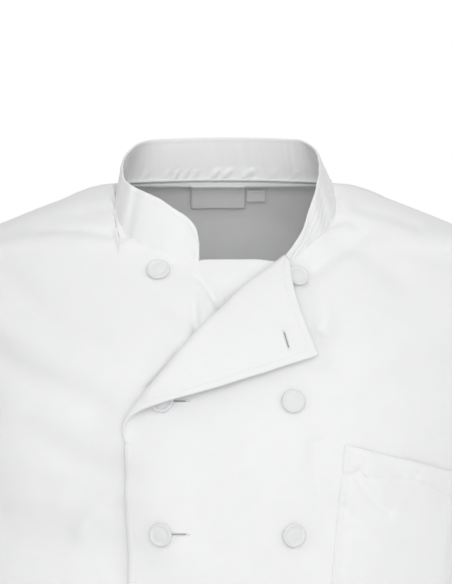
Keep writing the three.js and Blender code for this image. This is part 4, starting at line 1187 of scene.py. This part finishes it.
detail += sum(ditch(d - COLLAR_STITCHED, 0.22, 1) for d in (from_rim, from_right_end))
detail += 0.7 * np.sin(from_right_end / 17) * behind * smooth(4, 14, from_seam)
collar_cloth = collar + collar_normals * detail[..., None]
collar_piece = make("collar_cloth", *wall(collar_cloth, COLLAR_CLOTH), twill)
dress(collar_piece, "cloth", "collar")

# Inside the back: the binding over the neck seam, and two plain labels.
INSIDE = CLOTH / 2 + 0.6
TAPE_OFF = INSIDE + 0.45
TAPE_THICKNESS = 0.8
TAPE_EDGES = (7.5, 2.6)
TAPE_ROWS = 8
ROLL_OFF = INSIDE + 0.9
ROLL_DROP = 0.2
ROLL_RADIUS = 1.2
LABEL_OFF = INSIDE + 1.5
LABEL_THICKNESS = 0.5
first_column = BACK_COLUMNS["shoulder"] * BACK_FINER
neck_columns = slice(first_column + 2, first_column + BACK_COLUMNS["neck"] * BACK_FINER - 1)
below_seam = distances(back_cloth)[3]


def round_neck(drop, inwards):
    """The line inside the back that runs below the neck seam, with normals into the jacket."""
    points, away = contour(back_cloth, back_normals, below_seam, drop, 0)
    points, away = points[neck_columns], away[neck_columns]
    return points - away * inwards, -away


tape = np.array([round_neck(drop, TAPE_OFF)[0] for drop in np.linspace(*TAPE_EDGES, TAPE_ROWS + 1)])
tape[..., 1] -= pucker(0 * tape[..., 0], tape[..., 0], 9, 0.18, 5, 0.5)
tape_piece = make("neck_tape_cloth", *wall(tape, TAPE_THICKNESS), tape_cloth)
dress(tape_piece, "tape", "neck_tape")


def label(name, node, width, height, drop, middle, columns, rows):
    x = middle + width * np.linspace(0.5, -0.5, columns + 1)[None]
    rise = np.linspace(0, 1, rows + 1)[:, None]
    z = back_seam_z(middle) - drop - height * (1 - rise) + 0 * x
    places, out = near_point(back_cloth, back_normals, x + 0 * z, z, 1)
    curl = 0.5 * (1 - rise) ** 2 + 0.12 * np.sin(x / 5.0)
    grid = places - out * (LABEL_OFF + curl)[..., None]
    piece = make(name, *wall(grid, LABEL_THICKNESS), label_cloth)
    dress(piece, "label", node)
    return piece, grid


main_label, main_grid = label("main_label_cloth", "main_label", 46, 18.5, 4, -6.8, 46, 20)
size_label, size_grid = label("size_label_cloth", "size_label", 16, 9.4, 7.5, 25.9, 20, 12)

# The chest pocket.
POCKET_TOP = ((95, -214.7), (190.7, -239.5))
POCKET_BOTTOM = ((82.4, -348.5), (178.4, -373))
POCKET_CELLS = (72, 96)
across = np.linspace(0, 1, POCKET_CELLS[0] + 1)[None]
upwards = np.linspace(0, 1, POCKET_CELLS[1] + 1)[:, None]


def between_corners(k):
    """The x or the z of the pocket's points, from its corners."""
    low, high = (mix(edge[0][k], edge[1][k], across) for edge in (POCKET_BOTTOM, POCKET_TOP))
    return mix(low, high, upwards)


corner_x, corner_z = (between_corners(k) for k in (0, 1))
POCKET_CREASES = table(
    CREASES,
    (107, -238, 130, -269, -3, 5.5, -4.2, -2),
    (114, -236, 140, -262, -3, 6, 1.4, 1),
    (95, -239, 108, -239, 0, 2.6, -1, -1.4),
    (96, -265, 104, -274, 0, 4, -1.6, -0.8),
    (120, -222, 152, -239, -3, 4.4, -0.8, -1.8),
    (150, -236, 178, -262, 4, 9, 1.4, -1.2),
    (101, -282, 116, -300, 3, 7, -1.4, -0.5),
    (140, -262, 158, -330, 5, 12, -1.2, -0.3),
)
HEM_DEPTHS = table("across depth", (0, 23), (0.37, 18), (0.6, 14.5), (0.75, 16.5), (1, 21))
STITCHED = (1.8, 4.8)
pocket_angle = angle_at(corner_x, corner_z)
pocket = on_body(pocket_angle, corner_z, over_lift(pocket_angle), POCKET_CREASES)
pocket_normals = normals_of(pocket)
from_inner, from_outer, from_base, from_mouth = distances(pocket)
sewn = np.minimum(np.minimum(from_inner, from_outer), from_base)
lift = (CLOTH + FACING_CLOTH) / 2 + 1.3 * smooth(0, 14, sewn)
lift = lift + pucker(sewn - STITCHED[0], from_base, 8, 0.2, 5, 0.6)
lift = lift + sum(ditch(sewn - inset, 0.35, 1) for inset in STITCHED)
above_hem = from_mouth - along(HEM_DEPTHS, "across", across, "depth")
lift = lift + pucker(above_hem, from_inner, 7, 0.22, 6, 0.2) + ditch(above_hem, 0.4, 1.4)
lift = lift + 0.4 * (1 - smooth(-3, 0, above_hem))
pocket = pocket + pocket_normals * lift[..., None]
pocket_piece = make("chest_pocket_cloth", *wall(pocket, FACING_CLOTH), twill)
dress(pocket_piece, "cloth", "chest_pocket")

# Buttons: a ring pressed into the cloth inside the rim, in a darker twill whose darkness is painted shade.
BUTTON_PROFILE = table(
    "radius height",
    (0, 0),
    (3.2, 0),
    (3.2, 1.1),
    (7.6, 1.3),
    (9.2, 1.9),
    (9.7, 2.8),
    (9.5, 3.8),
    (8.9, 4.6),
    (8.1, 4.85),
    (7.4, 4.5),
    (6.8, 4),
    (6.1, 3.9),
    (4.8, 4.3),
    (3, 4.7),
    (0, 4.85),
)
BUTTON_GAP = 0.15
BUTTON_SIDES = 40


def button(name, place, panel, panel_normals):
    centre, normal = near_point(panel, panel_normals, *place, -1)
    normal = unit(normal)
    right = unit(np.cross(np.array([0, 0, 1.0]), normal))
    up = np.cross(normal, right)
    turn = np.linspace(0, 2 * math.pi, BUTTON_SIDES, endpoint=False)
    radius, height = (BUTTON_PROFILE[column][:, None, None] for column in ("radius", "height"))
    ring = np.cos(turn)[:, None] * right + np.sin(turn)[:, None] * up
    vertices = centre + normal * (CLOTH / 2 + BUTTON_GAP + height) + radius * ring[None]
    number = np.arange(vertices.shape[0] * BUTTON_SIDES).reshape(-1, BUTTON_SIDES)
    after = np.roll(number, -1, 1)
    faces = np.stack([number[:-1], after[:-1], after[1:], number[1:]], -1).reshape(-1, 4)
    piece = mesh_object(name, vertices.reshape(-1, 3), faces.tolist(), button_cloth)
    shape = bmesh.new()
    shape.from_mesh(piece.data)
    bmesh.ops.remove_doubles(shape, verts=shape.verts, dist=1e-6)
    bmesh.ops.recalc_face_normals(shape, faces=shape.faces)
    shape.to_mesh(piece.data)
    shape.free()
    piece.data.shade_smooth()
    return dress(piece, "button_cloth", name.replace("_cover", ""))


button("button_right_1_cover", FIRST_BUTTONS["right"], under_cloth, under_normals)
lying_cloth, lying_normals = over_cloth[:, FLAP_COLUMNS:], over_normals[:, FLAP_COLUMNS:]
button("button_left_1_cover", FIRST_BUTTONS["left"], lying_cloth, lying_normals)
for side, (x, z) in SECOND_BUTTONS.items():
    for row in range(2, BUTTON_ROWS + 1):
        place = (x, z - (row - 2) * BUTTON_PITCH)
        button(f"button_{side}_{row}_cover", place, lying_cloth, lying_normals)

# Stitch lines.
def hem_line(points, normals):
    return raised(contour(points, normals, distances(points)[2], HEM, 0), CLOTH / 2)


FRONT_EDGE_STITCHED = 6
front_edge = contour(
    lying_cloth, lying_normals, distances(lying_cloth)[0], FRONT_EDGE_STITCHED, 1, below_armpit
)
left_stitching = stitches(
    "front_left_stitching", [raised(front_edge, CLOTH / 2), hem_line(lying_cloth, lying_normals)]
)
right_stitching = stitches("front_right_stitching", [hem_line(under_cloth, under_normals)])
back_stitching = stitches("back_stitching", [hem_line(back_cloth, back_normals)])


def inset_lines(points, normals, lift, inset, choices):
    """Lines at one distance from edges: each choice is a distance, an axis and what limits it."""
    return [
        raised(contour(points, normals, distance, inset, axis, limit > inset), lift)
        for distance, axis, limit in choices
    ]


out = FACING_CLOTH / 2
from_edge, _, from_lower, _ = distances(facing)
choices = [(from_edge, 1, from_lower), (from_lower, 0, from_edge)]
lines = inset_lines(facing, facing_out, out, FACING_STITCHED, choices)
facing_stitching = stitches("facing_stitching", lines)

from_right_end, from_left_end, _, from_rim = distances(collar_cloth)
ends = np.minimum(from_right_end, from_left_end)
choices = [(from_rim, 0, ends), (from_right_end, 1, from_rim), (from_left_end, 1, from_rim)]
lines = []
for face in (1, -1):
    faced = normals_of(collar_cloth) * face
    lines += inset_lines(collar_cloth, faced, COLLAR_CLOTH / 2, COLLAR_STITCHED, choices)
collar_stitching = stitches("collar_stitching", lines)

from_inner, from_outer, from_base, from_mouth = distances(pocket)
pocket_normals = normals_of(pocket)
above_hem = from_mouth - along(HEM_DEPTHS, "across", across, "depth")
sides = np.minimum(from_inner, from_outer)
choices = [(from_inner, 1, from_base), (from_outer, 1, from_base), (from_base, 0, sides)]
lines = [raised(contour(pocket, pocket_normals, above_hem, 0, 0), out)]
for inset in STITCHED:
    lines += inset_lines(pocket, pocket_normals, out, inset, choices)
pocket_stitching = stitches("pocket_stitching", lines)

# A rolled edge of the tape over the back neck seam, and the thread at the tape's and labels' ends.
neck_roll = tubes(
    "neck_tape_roll", [round_neck(ROLL_DROP, ROLL_OFF)], ROLL_RADIUS, tape_cloth, "tape", sides=8
)
tape_line = raised((tape[1], -normals_of(tape)[1]), TAPE_THICKNESS / 2)
tape_stitching = stitches("neck_tape_stitching", [tape_line], "tape", LABEL_STITCH_PITCH)
lines = []
for grid in (main_grid, size_grid):
    faced = -normals_of(grid)
    for column in (1, -2):
        lines.append(raised((grid[:, column], faced[:, column]), LABEL_THICKNESS / 2))
label_stitching = stitches("label_stitching", lines, "label", LABEL_STITCH_PITCH)

# Buttonholes: one on the turned-back corner, and one beside each button that the over front
# closes with. Each slit is a thin dark-grey tube: painted shade for the shadow inside the slit.
OVAL_SIDES = 44
OVAL_HALF_WIDTH = 1.1
SLIT_SHARE = 0.74
SLIT_POINTS = 12
HOLE_LENGTH = 22
HOLE_OFF_BUTTON = 11
THREAD_RADIUS = 0.5
SLIT_RADIUS = 0.45
CORNER_HOLE = {"place": (48.7, -130), "direction": (0.279, -0.96), "length": 17}


def buttonhole(points, normals, place, direction, length, lift):
    """The oval of close thread round a slit, and the slit, each as (points, normals)."""
    turn = np.linspace(0, 2 * math.pi, OVAL_SIDES, endpoint=False)
    rounded = [np.sign(v) * np.abs(v) ** 0.6 for v in (np.cos(turn), np.sin(turn))]
    u, v = rounded[0] * length / 2, rounded[1] * OVAL_HALF_WIDTH
    dx, dz = direction
    oval = near_point(points, normals, place[0] + u * dx - v * dz, place[1] + u * dz + v * dx, -1)
    w = np.linspace(-0.5, 0.5, SLIT_POINTS) * length * SLIT_SHARE
    slit = near_point(points, normals, place[0] + w * dx, place[1] + w * dz, -1)
    return raised(oval, lift + 0.2), raised(slit, lift + 0.1)


x, z = SECOND_BUTTONS["right"]
places = [(x + HOLE_OFF_BUTTON, z - row * BUTTON_PITCH) for row in range(BUTTON_ROWS - 1)]
holes = [
    buttonhole(lying_cloth, lying_normals, place, (1, 0), HOLE_LENGTH, CLOTH / 2) for place in places
]
ovals, slits = zip(*holes)
front_holes = tubes("front_buttonholes", ovals, THREAD_RADIUS, thread, "cloth", True)
# The dark slit tubes are painted shade for the shadow inside each buttonhole.
front_slit_shades = tubes("front_buttonhole_slits", slits, SLIT_RADIUS, slit_painted_shade, "cloth")
oval, slit = buttonhole(facing, facing_out, **CORNER_HOLE, lift=FACING_CLOTH / 2)
corner_hole = tubes("corner_buttonhole", [oval], THREAD_RADIUS, thread, "cloth", True)
# Its dark slit is painted shade as well.
corner_slit_shade = tubes("corner_buttonhole_slit", [slit], THREAD_RADIUS, slit_painted_shade, "cloth")

# The cut of each piece of cloth, worked out and not kept.
declare(front_left, over_cloth, over_cells)
declare(front_right, under_cloth)
declare(back_piece, back_cloth)
declare(facing_piece, facing)
declare(collar_piece, collar_cloth)
declare(tape_piece, tape)
declare(main_label, main_grid)
declare(size_label, size_grid)
declare(pocket_piece, pocket)

# The camera, the stage and the light.
DISTANCE = 4.0
PICTURE_WIDTH = 0.3706
camera = bpy.data.objects.new("camera", bpy.data.cameras.new("camera"))
bpy.context.scene.collection.objects.link(camera)
camera.location = (0, -0.09 - DISTANCE, -0.091)
camera.rotation_euler = (math.pi / 2, 0, 0)
camera.data.sensor_width = 36
camera.data.sensor_fit = "HORIZONTAL"
camera.data.lens = 36 * DISTANCE / PICTURE_WIDTH
bpy.context.scene.camera = camera

FLOOR_Z = -1.5
bpy.ops.mesh.primitive_plane_add(size=80, location=(0, 0, FLOOR_Z))
floor = bpy.context.object
floor.name = "floor"
pale, _, _ = shader("pale_floor", (0.86, 0.86, 0.86), 0.9)
floor.data.materials.append(pale)

world = bpy.data.worlds.new("soft_studio")
bpy.context.scene.world = world
world.use_nodes = True
tree = world.node_tree
light = tree.nodes["Background"]
seen = tree.nodes.new("ShaderNodeBackground")
seen.inputs["Color"].default_value = (1, 1, 1, 1)
seen.inputs["Strength"].default_value = 1.0
light.inputs["Color"].default_value = (1, 1, 1, 1)
light.inputs["Strength"].default_value = 0.585
which = tree.nodes.new("ShaderNodeLightPath")
either = tree.nodes.new("ShaderNodeMixShader")
tree.links.new(which.outputs["Is Camera Ray"], either.inputs[0])
tree.links.new(light.outputs[0], either.inputs[1])
tree.links.new(seen.outputs[0], either.inputs[2])
tree.links.new(either.outputs[0], tree.nodes["World Output"].inputs["Surface"])
bpy.context.scene.view_settings.view_transform = "Standard"


def light_from(name, kind, place, watts, target=(0, 0, -0.15)):
    lamp = bpy.data.objects.new(name, bpy.data.lights.new(name, kind))
    lamp.data.energy = watts
    lamp.location = place
    direction = Vector(target) - Vector(place)
    lamp.rotation_euler = direction.to_track_quat("-Z", "Y").to_euler()
    bpy.context.scene.collection.objects.link(lamp)
    return lamp.data


SOFT_BOXES = table(
    "x y z size watts",
    (0.15, -3.7, 0.55, 2.4, 48),
    (2.5, -2.4, 1.0, 1.4, 9),
    (-2.5, -2.4, 0.9, 1.4, 6),
    (0, -1.0, 2.1, 1.1, 2.4),
    (0.6, 3.4, 1.2, 2.0, 22),
)
for number, box in enumerate(rows_of(SOFT_BOXES), 1):
    place = (box["x"], box["y"], box["z"])
    lamp = light_from(f"soft_box_{number}", "AREA", place, box["watts"])
    lamp.shape = "SQUARE"
    lamp.size = box["size"]
neck_spot = light_from("neck_spot", "SPOT", (0, -1.5, 1.35), 16, (0, 0.06, -0.02))
neck_spot.spot_size = math.radians(10)
neck_spot.spot_blend = 1
neck_spot.shadow_soft_size = 0.08
